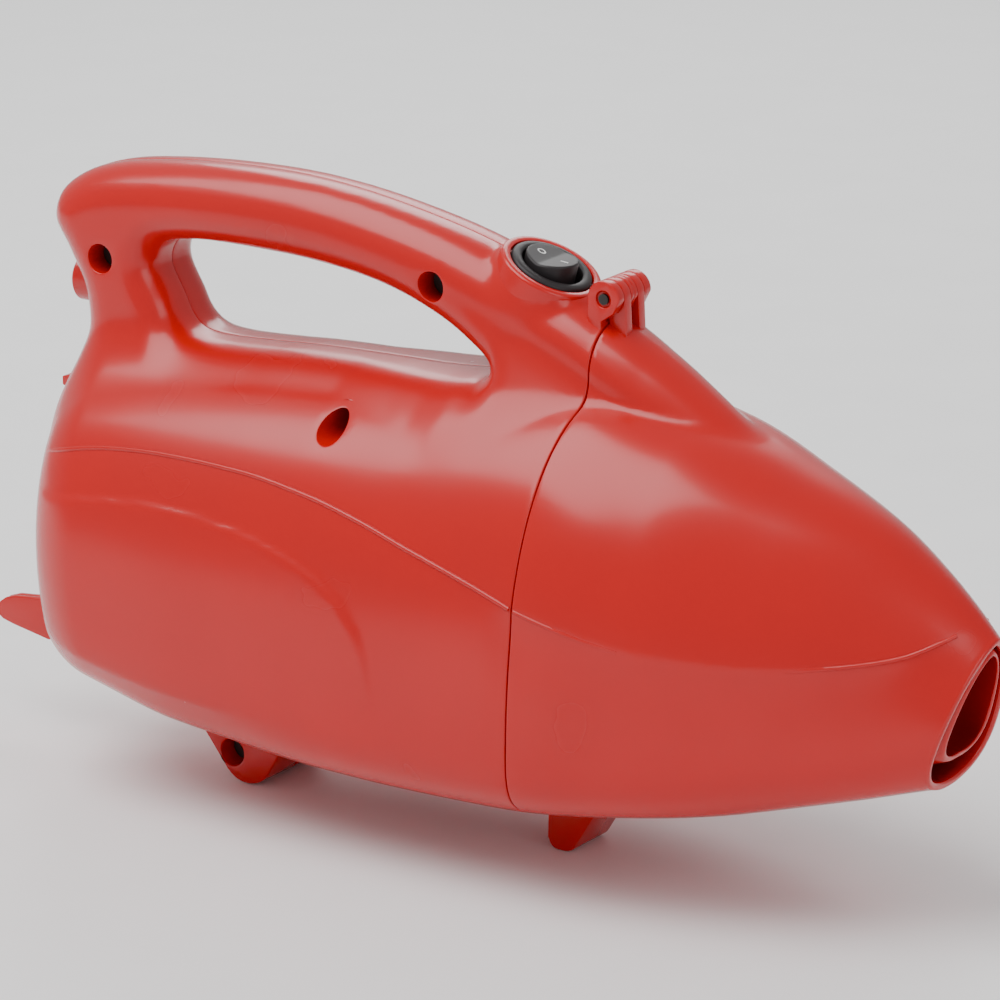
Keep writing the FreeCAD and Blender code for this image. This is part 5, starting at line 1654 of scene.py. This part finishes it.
@dataclass
class Studio:
    """Pale floor, soft lights and the camera."""

    azimuth: float = 34.0
    elevation: float = 17.0
    distance: float = 1.5
    target: tuple[float, float, float] = (0.0109, 0.0, 0.0945)
    lens: float = 196.36

    def floor(self) -> None:
        """A wide pale floor under the feet."""
        mesh = bpy.data.meshes.new("floor")
        mesh.from_pydata([(-6, -6, -2e-4), (6, -6, -2e-4), (6, 6, -2e-4), (-6, 6, -2e-4)], [], [(0, 1, 2, 3)])
        floor = bpy.data.objects.new("floor", mesh)
        bpy.context.collection.objects.link(floor)
        mesh.materials.append(PALE_FLOOR.material())

    def lamp(self, name: str, place: Sequence[float], size: tuple[float, float], power: float) -> None:
        """One soft rectangular lamp aimed at the blower.

        Args:
            name: the lamp's name.
            place: where it stands, in metres.
            size: its width and height.
            power: watts.
        """
        light = bpy.data.lights.new(name, "AREA")
        light.shape, light.size, light.size_y, light.energy = "RECTANGLE", size[0], size[1], power
        obj = bpy.data.objects.new(name, light)
        obj.location = place
        aim = Vector(self.target) - Vector(place)
        obj.rotation_euler = aim.to_track_quat("-Z", "Y").to_euler()
        bpy.context.collection.objects.link(obj)

    def camera(self) -> None:
        """The camera at the viewing angle."""
        a, e = math.radians(self.azimuth), math.radians(self.elevation)
        back = Vector((math.sin(a) * math.cos(e), -math.cos(a) * math.cos(e), math.sin(e)))
        data = bpy.data.cameras.new("camera")
        data.lens, data.sensor_width, data.clip_start, data.clip_end = self.lens, 36.0, 0.05, 50.0
        obj = bpy.data.objects.new("camera", data)
        obj.location = Vector(self.target) + self.distance * back
        obj.rotation_euler = (-back).to_track_quat("-Z", "Y").to_euler()
        bpy.context.collection.objects.link(obj)
        bpy.context.scene.camera = obj

    def build(self) -> None:
        """Sets up the whole studio."""
        world = bpy.data.worlds.new("studio")
        world.use_nodes = True
        world.node_tree.nodes["Background"].inputs["Color"].default_value = (1, 1, 1, 1)
        world.node_tree.nodes["Background"].inputs["Strength"].default_value = 0.6
        bpy.context.scene.world = world
        self.floor()
        self.lamp("key", (-0.45, -0.55, 1.4), (1.5, 1.1), 26.0)
        self.lamp("fill", (1.3, -0.6, 0.6), (0.7, 0.9), 4.0)
        self.lamp("rim", (-0.6, 1.1, 0.9), (0.8, 0.6), 7.0)
        self.camera()


def main() -> None:
    """Builds every sub-assembly in order and reports each piece."""
    logging.basicConfig(level=logging.INFO, format="%(message)s")
    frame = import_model()
    Studio().build()
    form = BlowerForm(SwitchSeat())
    moulding = Moulding()
    skin = SkinNet().build(form, (-145.0, -60.0, 12.0), (174.0, 3.0, 182.0))
    log.info("outer skin has %d quads", len(skin.faces))
    casing = Casing(form, moulding)
    for side in Side:
        casing.half(skin, side)
    cover = NoseCover(form, moulding)
    cover.build(skin)
    cover.inlet_tube()
    switch = RoundSwitch(form.seat)
    switch.housing()
    switch.rocker_piece()
    switch.marks()
    PleatedFilter(form).build()
    RearFittings().gland()
    Internals().dress(frame["nodes"])


if __name__ == "__main__":
    main()
